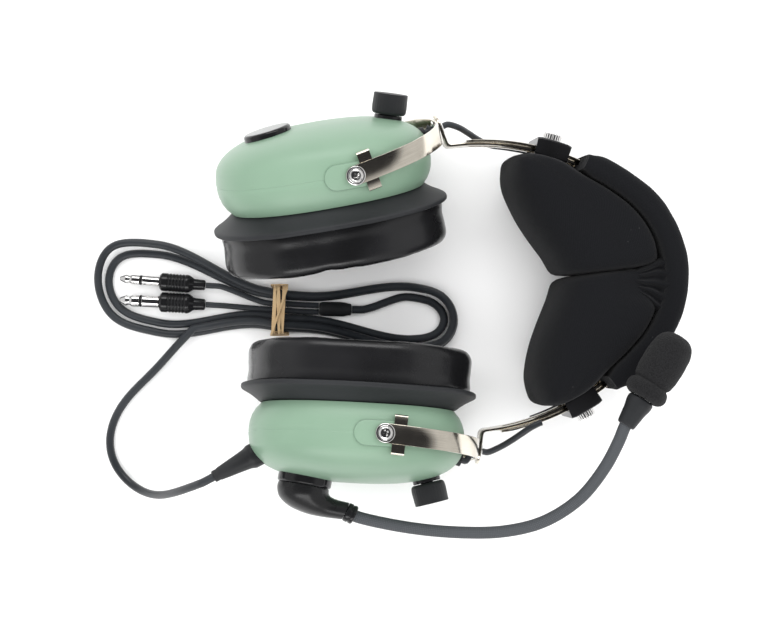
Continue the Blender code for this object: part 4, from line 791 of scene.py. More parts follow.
def dome_ring(y, grow=0.0, count=ROUND):
    scale = max(dome_scale(y, grow), 0.004)
    ring = oval((DOME_LENGTH + 2 * grow) * scale, (DOME_WIDTH + 2 * grow) * scale, DOME_OVAL, count)
    return [Vector((DOME_SHIFT + x, y, z)) for x, z in ring]


def ovals(name, rows, closed=True, ends="fan", shape=None):
    """Ovals of (length, width, y) about the dome's middle; shape moves each point."""
    rings = []
    for row, (length, width, y) in enumerate(rows):
        ring = []
        for i, (x, z) in enumerate(oval(length, width, DOME_OVAL, ROUND)):
            p = Vector((DOME_SHIFT + x, y, z))
            ring.append(shape(p, 2 * math.pi * i / ROUND, row / (len(rows) - 1)) if shape else p)
        rings.append(ring)
    return skin(name, rings, closed, ends)


def dome_shell(side):
    """Moulded shell with its parting line and the two pivot bosses."""
    groove = 0.14 * MM
    rows = [(-DOME_RIM, 0.0), (-DOME_RIM * 0.8, 0.0), (-DOME_RIM * 0.6, 0.0), (-DOME_RIM * 0.4, 0.0),
            (-DOME_RIM * 0.2, 0.0), (-0.45 * MM, 0.0), (-0.2 * MM, groove), (0.2 * MM, groove),
            (0.45 * MM, 0.0)]
    for a in np.linspace(12, 88.5, 30):
        rows.append((DOME_BACK * math.sin(math.radians(a)) ** (2 / DOME_CROWN), 0.0))
    outer = [dome_ring(y) if not inset else
             [p + (Vector((DOME_SHIFT, p.y, 0)) - p).normalized() * inset for p in dome_ring(y)] for y,
             inset in rows]
    inner = [dome_ring(min(y, DOME_BACK - DOME_WALL - 0.3 * MM), -DOME_WALL) for y, inset in rows[::4]]
    shell = skin("shell", [outer[-1]] + outer[::-1][1:] + inner)
    tools = []
    edge = 0.7 * MM
    for way in (1, -1):
        rings = []
        for level, inset in ((BOSS_FACE - 7 * MM, 0.0), (BOSS_FACE - edge, 0.0),
                             (BOSS_FACE - 0.35 * edge, 0.3 * edge),
                             (BOSS_FACE, edge)):
            outline = obround(BOSS_TAIL - inset, BOSS_NOSE - inset, BOSS_WIDTH - 2 * inset)
            rings.append([Vector((x, y, way * level)) for x, y in outline])
        tools.append(("UNION", skin("boss", rings)))
    shell = combine(shell, tools)
    piece(side + "_dome_shell", moved(shell, CUP[side]), SHELL, side + "_cup", [side + "_dome"], 32)


def seal_flange(side):
    """Matte rubber flange whose thin lip stands out a little unevenly."""
    rim = dome_scale(-DOME_RIM)
    rim_length, rim_width = DOME_LENGTH * rim, DOME_WIDTH * rim
    top = -DOME_RIM - GAP
    foot = top - FLANGE_DEPTH
    span_length, span_width = FLANGE_LENGTH - rim_length, FLANGE_WIDTH - rim_width

    def flare(share, drop):
        return rim_length + span_length * share, rim_width + span_width * share, top - FLANGE_DEPTH * drop

    rows = [(rim_length - 12 * MM, rim_width - 12 * MM, top),
            (rim_length - 1.4 * MM, rim_width - 1.4 * MM, top),
            (rim_length - 0.3 * MM, rim_width - 0.3 * MM, top - 0.25 * MM)]
    rows += [flare(share, drop) for share, drop in (
        (0.12, 0.12), (0.28, 0.27), (0.45, 0.41), (0.62, 0.53), (0.78, 0.63), (0.90, 0.70), (0.965, 0.75),
        (0.995, 0.80), (1.0, 0.85), (1.0, 0.91), (0.99, 0.96), (0.96, 0.99))]
    rows += [(FLANGE_LENGTH - 2.6 * MM, FLANGE_WIDTH - 2.6 * MM, foot),
             (SEAL_LENGTH - 8 * MM, SEAL_WIDTH - 8 * MM, foot),
             (BORE_LENGTH + 2 * MM, BORE_WIDTH + 2 * MM, foot), (BORE_LENGTH, BORE_WIDTH, foot + 0.8 * MM),
             (BORE_LENGTH, BORE_WIDTH, top - 2.5 * MM)]

    def uneven(p, angle, along):
        if 0.25 < along < 0.75:
            p.y += 0.35 * MM * ripple((math.cos(angle) * 3, math.sin(angle) * 3, 0), 1.0,
                                      len(side)) * ease(along * 2)
        return p

    mesh = ovals("flange", rows, shape=uneven)
    piece(side + "_ear_flange", moved(mesh, CUP[side]), FLANGE, side + "_cup",
          [side + "_seal_flange"], 50)


CUSHION_ROWS = [(0.985, 0.0), (1.0, 0.08), (0.985, 0.30), (1.0, 0.56), (0.995, 0.82), (0.91, 0.955),
                (0.55, 1.0),
                (0.18, 0.93), (0.02, 0.72), (0.0, 0.45), (0.10, 0.0)]


def seal_cushion(side):
    """Vinyl ring: full, with a sewn back edge, soft creases and one deeper dent."""
    back = -DOME_RIM - 2 * GAP - FLANGE_DEPTH
    wide = SEAL_LENGTH - EAR_LENGTH
    outline = smooth_curve([(a, d, 0) for a, d in CUSHION_ROWS], 0.035)
    rows = [(EAR_LENGTH + wide * a, EAR_WIDTH + (SEAL_WIDTH - EAR_WIDTH) * a, back - SEAL_DEPTH * d)
            for a, d, z in outline]
    dents = {"right": ((1.72, 0.085, 2.3), (1.56, 0.06, 1.0), (2.45, 0.2, 0.7), (0.75, 0.16, 0.6),
                       (4.2, 0.2, 0.8)),
             "left": ((1.35, 0.22, 0.9), (2.2, 0.3, 0.7), (0.5, 0.25, 0.5), (4.6, 0.22, 0.8))}[side]
    middle = Vector((DOME_SHIFT, back - SEAL_DEPTH / 2, 0))

    def creased(p, angle, along):
        full = math.sin(math.pi * min(1.0, along * 1.02)) ** 0.5
        push = 0.0
        for place, width, depth in dents:
            apart = (angle - place + math.pi) % (2 * math.pi) - math.pi
            push += depth * math.exp(-(apart / width) ** 2) * (0.35 + 0.65 * ease((along - 0.25) / 0.3))
        wrinkle = math.sin(angle * 37 + 5 * ripple((angle * 2, along * 3, 0), 1.0, 3.1))
        inner = ease((along - 0.55) / 0.25)
        push += 0.16 * wrinkle * inner + 0.5 * ripple((angle * 3.0, along * 2.5, len(side)), 1.0)
        push += 0.22 * abs(ripple((angle * 9.0, along * 4.0, 7.0 + len(side)), 1.0)) * (1 - inner)
        ring = Vector((p.x - middle.x, 0, p.z - middle.z))
        lean = ring.normalized() * (EAR_LENGTH * 0.5 + 13 * MM)
        core = Vector((middle.x + lean.x, middle.y, middle.z + lean.z * 0.76))
        return p + (core - p).normalized() * push * MM * full

    mesh = ovals("cushion", rows, shape=creased)
    piece(side + "_ear_cushion", moved(mesh, CUP[side]), VINYL, side + "_cup",
                    [side + "_seal_cushion"], 60)
    seam = []
    for x, z in oval(SEAL_LENGTH * 0.982, SEAL_WIDTH * 0.982, DOME_OVAL, ROUND):
        seam.append([Vector((DOME_SHIFT + x * g, back - 1.25 * MM + h * MM, z * g))
                     for g, h in ((1.0, 0.42), (1.006, 0.3), (1.009, 0.0), (1.006, -0.3), (1.0, -0.42),
                                  (0.99, 0.0))])
    welt = skin("welt", seam, True)
    piece(side + "_cushion_welt", moved(welt, CUP[side]), VINYL, side + "_cup", sharp=80)


def inside_foams(side):
    """Ear filter, dome liner and receiver, seen through the cushion's opening."""
    foot = -DOME_RIM - GAP - FLANGE_DEPTH
    length, width = BORE_LENGTH - 2 * GAP, BORE_WIDTH - 2 * GAP
    rows = [(length * s, width * s, foot + FOAM_DEPTH * d) for s, d in (
        (0.02, 0.32), (0.3, 0.3), (0.6, 0.22), (0.85, 0.1), (0.96, 0.04), (1.0, 0.25), (1.0, 0.9),
                                                                        (0.98, 1.0), (0.5, 1.0))]
    mesh = ovals("filter", rows, False)
    piece(side + "_ear_filter", moved(mesh, CUP[side]), FOAM, side + "_cup",
                    [side + "_filter_foam"], 60)
    face = -DOME_RIM + GAP
    inside = dome_scale(-DOME_RIM, -DOME_WALL)
    length = (DOME_LENGTH - 2 * DOME_WALL) * inside - 2 * LINER_INSET
    width = (DOME_WIDTH - 2 * DOME_WALL) * inside - 2 * LINER_INSET
    rows = [(length * s, width * s, face + LINER_DEPTH * d) for s, d in (
        (0.5, 0.0), (0.97, 0.0), (1.0, 0.06), (1.0, 0.9), (0.97, 1.0), (0.5, 1.0))]
    mesh = ovals("liner", rows, False)
    piece(side + "_shell_liner", moved(mesh, CUP[side]), FOAM, side + "_cup",
                    [side + "_dome_liner"], 60)


def pivot_screw(side, end):
    """Pan head with a crossed recess, on a flat washer."""
    base = BOSS_FACE + GAP + STRIP + GAP
    r = PIVOT_HEAD / 2
    profile = rounded([(PIVOT_SHANK / 2, BOSS_FACE - 4 * MM), (PIVOT_SHANK / 2, base), (r, base),
                       (r, base + 0.55 * MM),
                       (r * 0.86, base + 0.75 * MM), (r * 0.76, base + 0.6 * MM),
                       (r * 0.70, base + 1.35 * MM),
                       (r * 0.5, base + 1.95 * MM), (r * 0.02, base + 2.15 * MM)], 0.25 * MM, 3)
    screw = turned("screw", profile, 64)
    cross = []
    for angle in (0, 90):
        rings = []
        for level, half, reach in ((base + 2.6 * MM, 0.55, 1.9), (base + 1.3 * MM, 0.42, 1.35),
                                   (base + 0.7 * MM, 0.3, 0.5)):
            rings.append([Vector((x * reach * MM, y * half * MM, level)) for x,
                          y in ((1, 1), (-1, 1), (-1, -1), (1, -1))])
        cross.append(("DIFFERENCE", moved(skin("cross", rings), turn(angle + 28, "Z"))))
    screw = combine(screw, cross)
    place = CUP[side] @ turn(0 if end == "front" else 180, "X")
    piece(f"{side}_screw_{end}", moved(screw, place), CHROME, side + "_cup",
          [f"{side}_pivot_screw_{end}"], 30)


def volume_knob(side):
    """Soft knob with shallow flutes and rounded edges, on a thin base."""
    seat = CUP[side] @ seat_frame(KNOB_PLACE)
    nut = turned("nut", rounded([(CONTROL_NUT / 2 - 0.02 * MM, -2.6 * MM), (CONTROL_NUT / 2, NUT_HEIGHT),
                                 (CONTROL_SHAFT / 2, NUT_HEIGHT),
                                 (CONTROL_SHAFT / 2, KNOB_HEIGHT * 0.7 + NUT_HEIGHT)],
                                0.4 * MM), 72)
    piece(side + "_volume_base", moved(nut, seat), PLASTIC, side + "_cup",
          [side + "_volume_control"], 40)
    r = KNOB_DIAMETER / 2
    base = NUT_HEIGHT + GAP
    top = base + KNOB_HEIGHT
    rows = rounded([(CONTROL_SHAFT / 2 + GAP, base + 6 * MM), (CONTROL_SHAFT / 2 + GAP, base),
                    (r * 0.86, base),
                    (r * 0.97, base + MM), (r * 1.0, base + 3.2 * MM), (r * 0.975, top - 0.2 * MM),
                    (r * 0.93, top), (r * 0.02, top + 0.1 * MM)], 2.6 * MM, 8)

    def fluted(angle, row):
        height = rows[row][1]
        depth = ease((height - base - 1.2 * MM) / (1.5 * MM))
        depth *= 1 - ease((height - top + 2.6 * MM) / (1.6 * MM))
        if rows[row][0] < r * 0.8:
            depth = 0
        return 1 - 0.009 * depth * (0.5 - 0.5 * math.cos(KNOB_FLUTES * angle)) ** 2

    knob = turned("knob", rows, KNOB_FLUTES * 8, size=fluted)
    piece(side + "_knob", moved(knob, seat), RUBBER, side + "_volume", [side + "_volume_knob"], 50)


def lead_grommet(side):
    x = DOME_SHIFT + DOME_LENGTH / 2 * dome_scale(GROMMET_SEAT)
    place = CUP[side] @ along_frame((x, GROMMET_SEAT, 0), (1, 0.25, 0))
    mesh = turned("grommet", rounded([(3.4 * MM, -2.5 * MM), (3.4 * MM, 1.4 * MM), (0.1 * MM, 1.4 * MM)],
                                     0.5 * MM), 40)
    piece(side + "_lead_boot", moved(mesh, place), RUBBER, side + "_cup", [side + "_lead_grommet"], 50)


def strain_relief():
    """Tapered rubber sleeve with a step where the cord leaves it."""
    x = DOME_SHIFT - DOME_LENGTH / 2 * dome_scale(RELIEF_LEVEL) - RELIEF_PROUD
    place = CUP["left"] @ along_frame((x, RELIEF_LEVEL, 0), polar(1, RELIEF_TURN))
    r, length = RELIEF_DIAMETER / 2, RELIEF_LENGTH
    rows = rounded([(r, -5.5 * MM), (r, length * 0.03), (r * 0.855, length * 0.11),
                    (r * 0.742, length * 0.35),
                    (r * 0.6, length * 0.7), (r * 0.52, length * 0.86), (RELIEF_TIP / 2, length * 0.87),
                    (RELIEF_TIP / 2, length - 0.1 * MM), (CORD / 2, length + 0.2 * MM),
                    (0.1 * MM, length + 0.2 * MM)], MM, 5)
    mesh = turned("relief", rows, 64)
    return piece("cord_sleeve", moved(mesh, place), RUBBER, "left_cup", ["cord_strain_relief"], 50), place


def mount_disc(side, diameter, height, node, name):
    """Shiny seat of the boom, or the cap that covers it on the other dome."""
    seat = CUP[side] @ seat_frame(MOUNT_PLACE)
    r = diameter / 2
    rows = rounded([(r, -2.4 * MM), (r, height - 0.9 * MM), (r - 0.9 * MM, height), (r * 0.55, height),
                    (0.1 * MM, height)], 0.6 * MM, 5)
    piece(name, moved(turned("disc", rows, 96), seat), PLASTIC, side + "_cup", [node], 50)


def cups():
    for side in ("right", "left"):
        dome_shell(side)
        seal_flange(side)
        seal_cushion(side)
        inside_foams(side)
        for end in ("front", "back"):
            pivot_screw(side, end)
        volume_knob(side)
        lead_grommet(side)
        refinish(side + "_receiver", PLASTIC)
    mount_disc("left", MOUNT_DIAMETER, MOUNT_HEIGHT, "boom_mount", "boom_seat")
    mount_disc("right", MOUNT_DIAMETER - 3 * MM, CAP_HEIGHT, "right_mount_cap", "mount_cap")


# ---- steel: yoke, eyelet, strap, bands and clamps ----
def path_normals(places, axis):
    normals = []
    for i in range(len(places)):
        direction = Vector(places[min(i + 1, len(places) - 1)]) - Vector(places[max(i - 1, 0)])
        normals.append(direction.cross(Vector(axis)).normalized())
    return normals


def ribbon(name, places, axis, thickness, halves, edge=0.22 * MM):
    """A flat strip with slightly rounded edges; axis runs across it."""
    rings = []
    across = Vector(axis)
    for place, n, half in zip(places, path_normals(places, axis), halves):
        half = max(half, edge * 1.2)
        t = thickness / 2
        ring = []
        for s, w in ((t, half - edge), (t - edge * 0.3, half - edge * 0.3), (t - edge, half),
                     (edge - t, half), (edge * 0.3 - t, half - edge * 0.3), (-t, half - edge),
                     (-t, edge - half), (edge * 0.3 - t, edge * 0.3 - half), (edge - t, -half),
                     (t - edge, -half), (t - edge * 0.3, edge * 0.3 - half), (t, edge - half)):
            ring.append(Vector(place) + n * s + across * w)
        rings.append(ring)
    return skin(name, rings, ends="flat")


def yoke(side):
    """Stirrup with rounded ends and a raised cross tab with turned-down lips."""
    level = BOSS_FACE + GAP + STRIP / 2
    half = STRIP_WIDTH / 2
    arm = [(-half * math.cos(a), level, half * math.sin(a)) for a in np.radians(np.linspace(6, 90, 9))]
    arm += [(x, level, half) for x in np.linspace(1.5 * MM, YOKE_FLAT, 4)]
    for a in np.linspace(6, 84, 24):
        share = math.sin(math.radians(a)) ** (2 / YOKE_CURVE)
        other = math.cos(math.radians(a)) ** (2 / YOKE_CURVE)
        if level * other > 6.5 * MM:
            arm.append((YOKE_FLAT + (YOKE_REACH - YOKE_FLAT) * share, level * other, half))
    arm.append((YOKE_REACH, 5.6 * MM, half))
    path = arm + [(YOKE_REACH, z * MM, half) for z in (3, 0, -3)] + [(x, -z, w) for x, z, w in reversed(arm)]
    strip = ribbon("yoke", [(x, 0, z) for x, z, w in path], (0, 1, 0), STRIP, [w for x, z, w in path])
    tools = []
    for way in (1, -1):
        high = level + STRIP / 2 - 0.2 * MM
        low, web, cross = high - STRIP - 1.7 * MM, high - STRIP + 0.4 * MM, TAB_SPAN / 2
        outline = [(-cross, low), (-cross, high - 0.9 * MM), (-cross + 0.3 * MM, high - 0.3 * MM),
                   (-cross + 0.9 * MM, high), (cross - 0.9 * MM, high), (cross - 0.3 * MM, high - 0.3 * MM),
                   (cross, high - 0.9 * MM), (cross, low), (cross - MM, low), (cross - MM, web),
                   (MM - cross, web), (MM - cross, low)]
        rings = []
        for x in (TAB_PLACE - TAB_LENGTH / 2, TAB_PLACE + TAB_LENGTH / 2):
            rings.append([Vector((x, y, way * z)) for y, z in outline])
        tools.append(("UNION", skin("tab", rings, ends="flat")))
    mesh = combine(strip, tools)
    return piece(side + "_yoke_strip", moved(mesh, YOKE[side]), STEEL, side + "_yoke",
                 [side + "_stirrup"], 38, 0.14 * MM)


def eyelet(side):
    """Hollow rivet that the yoke swings on, its lips rolled over on both faces."""
    bore, tube, rim = EYELET_BORE / 2, EYELET_TUBE / 2, EYELET_FLANGE / 2
    front = STRIP / 2 + GAP
    back = -STRIP / 2 - GAP - STRIP - GAP
    lip = EYELET_LIP
    rows = [(bore, back), (bore + 0.15 * MM, back - lip * 0.6), (bore + 0.7 * MM, back - lip),
            (rim - 0.9 * MM, back - lip * 0.9), (rim - 0.2 * MM, back - lip * 0.5), (rim, back - 0.05 * MM),
            (tube, back),
            (tube, front), (rim, front + 0.05 * MM), (rim - 0.2 * MM, front + lip * 0.5),
            (rim - 0.9 * MM, front + lip * 0.9), (bore + 0.7 * MM, front + lip),
            (bore + 0.15 * MM, front + lip * 0.6),
            (bore, front)]
    mesh = moved(turned("eyelet", rows, 64, True), SWIVEL[side] @ turn(90, "Y"))
    piece(side + "_eyelet", mesh, CHROME, side + "_slider", [side + "_swivel_eyelet"], 60)


def strap(side):
    """Slotted strap: a racked edge in the slot, a rounded bend and a round-ended plate."""
    r = SIDE_RADIUS + STRAP_MIDDLE
    half = STRAP_WIDTH / 2
    bend = BEND_RADIUS + STRIP / 2
    swing = 90 - PLATE_LEAN
    tangent = bend * math.tan(math.radians(swing / 2))
    stop = STRAP_END - math.degrees(tangent / r)
    places, halves = [], []
    end_turn = math.degrees(half / r)
    for share in (0.08, 0.3, 0.6, 0.85):
        places.append(polar(r, STRAP_TOP + end_turn * share * 0.5))
        halves.append(half * math.sqrt(1 - (1 - share) ** 2 * 0.5))
    for a in np.linspace(STRAP_TOP + end_turn, stop, 34):
        places.append(polar(r, a))
        halves.append(half)
    centre = polar(r + bend, stop)
    for i in range(1, 13):
        places.append(centre + polar(bend, stop + 180 - swing * i / 12))
        halves.append(half)
    out = polar(1, STRAP_END + PLATE_LEAN)
    corner = polar(r, STRAP_END)
    for a in np.linspace(0, 86, 14):
        places.append(corner + out * (PLATE_LENGTH - half + half * math.sin(math.radians(a))))
        halves.append(half * math.cos(math.radians(a)))
    strip = ribbon("strap", places, (0, 0, 1), STRIP, halves)
    slot_half = SLOT_WIDTH / 2
    ends = math.degrees(slot_half / r)
    notch = 1.3                 # degrees from one notch of the rack to the next
    slot, sizes = [], []
    for a in np.linspace(SLOT_TOP + ends * 0.08, SLOT_END - ends * 0.08, 170):
        near = min(a - SLOT_TOP, SLOT_END - a) / ends
        rack = 0.30 * MM * max(0.0, math.sin(2 * math.pi * a / notch)) if near > 1 else 0.0
        sizes.append(max(slot_half * math.sqrt(max(0.0, 1 - (1 - min(near, 1)) ** 2)) + rack - 0.15 * MM,
                         0.1 * MM))
        slot.append(polar(r, a))
    rings = []
    for place, n, size in zip(slot, path_normals(slot, (0, 0, 1)), sizes):
        rings.append([place + n * t + Vector((0, 0, w * size)) for t, w in
                      ((2 * MM, 1), (-2 * MM, 1), (-2 * MM, -1), (2 * MM, -1))])
    cutter = skin("slot", rings, ends="flat")
    hole = turned("hole", [(EYELET_TUBE / 2 + 0.1 * MM, -3 * MM), (EYELET_TUBE / 2 + 0.1 * MM, 3 * MM)], 48)
    to_arc = SIDE[side] @ Matrix.Translation(arc_centre())
    hole = moved(hole, to_arc.inverted() @ SWIVEL[side] @ turn(90, "Y"))
    mesh = combine(strip, [("DIFFERENCE", cutter), ("DIFFERENCE", hole)])
    piece(side + "_slotted_strap", moved(mesh, to_arc), STEEL, side + "_slider", [side + "_strap"],
          38, 0.1 * MM)


def band_point(angle, offset, z):
    """Point on the band's line: angle from the crown, offset outward."""
    a = math.radians(abs(angle))
    if abs(angle) <= CROWN_HALF_ANGLE:
        x, y = (CROWN_RADIUS + offset) * math.cos(a), (CROWN_RADIUS + offset) * math.sin(a)
    else:
        centre = arc_centre()
        x = centre.x + (SIDE_RADIUS + offset) * math.cos(a)
        y = centre.y + (SIDE_RADIUS + offset) * math.sin(a)
    return Vector((x, math.copysign(y, angle) if angle else 0.0, z))


def rounded_box(offset_low, offset_high, z_low, z_high, radius, steps=4):
    points = []
    corners = ((offset_high - radius, z_high - radius, 0), (offset_low + radius, z_high - radius, 90),
               (offset_low + radius, z_low + radius, 180), (offset_high - radius, z_low + radius, 270))
    for x, z, start in corners:
        for i in range(steps + 1):
            a = math.radians(start + 90 * i / steps)
            points.append((x + radius * math.cos(a), z + radius * math.sin(a)))
    return points


def spring_band(name, node, way):
    """One of the two spring bands; its ends are drawn in round."""
    half = BAND_THICKNESS / 2
    edge = 0.16 * MM
    middle = (BAND_SPLIT + BAND_HALF_WIDTH) / 2 * way
    reach = (BAND_HALF_WIDTH - BAND_SPLIT) / 2
    rings = []
    for a in np.linspace(-BAND_END, BAND_END, 141):
        left = math.radians(BAND_END - abs(a)) * SIDE_RADIUS
        wide = reach * math.sqrt(1 - (1 - min(1.0, left / reach + 0.18)) ** 2)
        ring = [band_point(a, o, middle + w * (wide - edge * s)) for o, w, s in (
            (half, 1, 1), (half - edge, 1, 0), (edge - half, 1, 0), (-half, 1, 1),
            (-half, -1, 1), (edge - half, -1, 0), (half - edge, -1, 0), (half, -1, 1))]
        rings.append([BAND @ p for p in ring])
    piece(name, skin(name, rings, ends="flat"), STEEL, "headband", [node], 35)


def clamp(side):
    """Moulded block that holds strap and bands, and its knurled thumb nut."""
    reach = CLAMP_REACH + CLAMP_WALL
    rings = []
    for a in np.linspace(CLAMP_PLACE - CLAMP_HALF_ARC, CLAMP_PLACE + CLAMP_HALF_ARC, 9):
        end = ease(min(a - CLAMP_PLACE + CLAMP_HALF_ARC, CLAMP_PLACE + CLAMP_HALF_ARC - a) / 0.5)
        inset = 0.35 * MM * (1 - end)
        outline = rounded_box(inset - CLAMP_BACK, CLAMP_TOP - inset, inset - reach, reach - inset, 1.2 * MM)
        rings.append([band_point(a, o, z) for o, z in outline])
    block = skin("block", rings, ends="flat")
    window = []
    for a in np.linspace(CLAMP_PLACE - CLAMP_HALF_ARC - 1, CLAMP_PLACE + CLAMP_HALF_ARC + 1, 9):
        window.append([band_point(a, o, z) for o, z in ((CLAMP_HIGH, CLAMP_REACH), (CLAMP_LOW, CLAMP_REACH),
                                                       (CLAMP_LOW, -CLAMP_REACH),
                                                        (CLAMP_HIGH, -CLAMP_REACH))])
    out = band_point(CLAMP_PLACE, 1, 0) - band_point(CLAMP_PLACE, 0, 0)
    seat = along_frame(band_point(CLAMP_PLACE, 0, 0), out)
    hole = moved(turned("hole", [(SCREW_SHANK / 2 + GAP, CLAMP_LOW - MM), (SCREW_SHANK / 2 + GAP, 8 * MM)],
                        32), seat)
    block = combine(block, [("DIFFERENCE", skin("window", window, ends="flat")), ("DIFFERENCE", hole)])
    piece(side + "_clamp", moved(block, SIDE[side]), PLASTIC, "headband", [side + "_clamp_block"],
          35, 0.18 * MM)
    r = SCREW_HEAD / 2
    base = CLAMP_TOP + GAP
    rows = rounded([(0.1 * MM, CLAMP_LOW - 0.7 * MM), (SCREW_SHANK / 2, CLAMP_LOW - 0.7 * MM),
                    (SCREW_SHANK / 2, base),
                    (r - 0.6 * MM, base), (r, base + 0.7 * MM), (r, base + SCREW_HEIGHT - 0.8 * MM),
                    (r - 0.9 * MM, base + SCREW_HEIGHT), (r * 0.5, base + SCREW_HEIGHT),
                    (r * 0.42, base + SCREW_HEIGHT - 0.7 * MM),
                    (0.1 * MM, base + SCREW_HEIGHT - 0.7 * MM)], 0.35 * MM, 3)

    def knurled(angle, row):
        depth = 1.0 if rows[row][0] > r * 0.97 else 0.0
        return 1 - 0.05 * depth * (0.5 + 0.5 * math.cos(SCREW_KNURLS * angle))

    nut = turned("nut", rows, 240, size=knurled)
    piece(side + "_thumb_nut", moved(nut, SIDE[side] @ seat), CHROME, side + "_thumb",
          [side + "_thumb_screw"], 45)


def steelwork():
    for side in ("right", "left"):
        yoke(side)
        eyelet(side)
        strap(side)
        clamp(side)
    spring_band("front_spring_band", "headband_front_band", 1)
    spring_band("rear_spring_band", "headband_rear_band", -1)


# ---- head pad, in the band's frame ----
GATHER_TIP = Vector((23.5, -4.2, 0)) * MM       # where the two lobes part
GATHER_TOP = Vector((50.2, 3.2, 0)) * MM
GATHER_BASE = Vector((44.4, -23.8, 0)) * MM
GATHER_DEPTH = 6.5 * MM


def wedge_depth(x, y):
    """How deep the lobes sink under the gathered cloth at a place, from 0 to 1."""
    reach = []
    for corner, way in ((GATHER_TOP, 1), (GATHER_BASE, -1)):
        edge = (corner - GATHER_TIP).normalized()
        reach.append(way * (edge.x * (GATHER_TIP.y - y) - edge.y * (GATHER_TIP.x - x)))
    return ease((min(reach) + 1.2 * MM) / (3.2 * MM))


def softened(mesh, times):
    """Mesh with its corners rounded off, as foam under cloth has them."""
    work = bmesh.new()
    work.from_mesh(mesh)
    for _ in range(times):
        bmesh.ops.smooth_vert(work, verts=work.verts, factor=0.5, use_axis_x=True, use_axis_y=True,
                              use_axis_z=True)
    work.to_mesh(mesh)
    work.free()
    return mesh


def pad_sleeve():
    """Cloth sleeve round the bands, soft at its corners and ends."""
    angles = np.linspace(-SLEEVE_END, SLEEVE_END, 121)
    rings = []
    for a in angles:
        left = (SLEEVE_END - abs(a)) / 4.5
        draw = 1.9 * MM * (1 - ease(left)) ** 2
        outline = rounded_box(draw - SLEEVE_INSIDE, SLEEVE_OUTSIDE - draw, draw - PAD_HALF_WIDTH,
                              PAD_HALF_WIDTH - draw, 4.8 * MM - 1.05 * draw, 8)
        dense = []
        for i, (o, z) in enumerate(outline):
            after = outline[(i + 1) % len(outline)]
            dense.append((o, z))
            if abs(after[1] - z) > 20 * MM:
                dense += [(o + (after[0] - o) * t, z + (after[1] - z) * t) for t in np.linspace(0, 1,
                                                                                                18)[1:-1]]
        ring = []
        for o, z in dense:
            p = band_point(a, o, z)
            crown = 1 - (z / PAD_HALF_WIDTH) ** 2
            lump = 0.35 * MM * ripple(p, 0.02, 2.0) + 0.12 * MM * ripple(p, 0.006, 5.0)
            grow = lump + 0.3 * MM * crown * (1 if o > 0 else 0)
            if abs(z) > PAD_HALF_WIDTH - 6 * MM:
                grow = lump - 0.15 * MM
            ring.append(band_point(a, o + (grow if o > 0 else 0), z + (lump if abs(z) > 30 * MM else 0)))
        rings.append(ring)
    body = skin("sleeve", rings, ends="flat")
    low = CROSSOVER_LEVEL - CROSSOVER / 2 - GAP
    depth = CROSSOVER / 2 + GAP
    window = []
    for a in np.linspace(-SLEEVE_END - 2, SLEEVE_END + 2, 61):
        window.append([band_point(a, o, z) for o, z in ((depth, BAND_HALF_WIDTH + GAP),
                                                        (CLAMP_LOW, BAND_HALF_WIDTH + GAP),
                                                       (CLAMP_LOW, low), (depth, low))])
    body = combine(body, [("DIFFERENCE", skin("window", window, ends="flat"))])
    piece("pad_cover", moved(body, BAND), CLOTH, "headband", ["head_pad_sleeve"], 50)


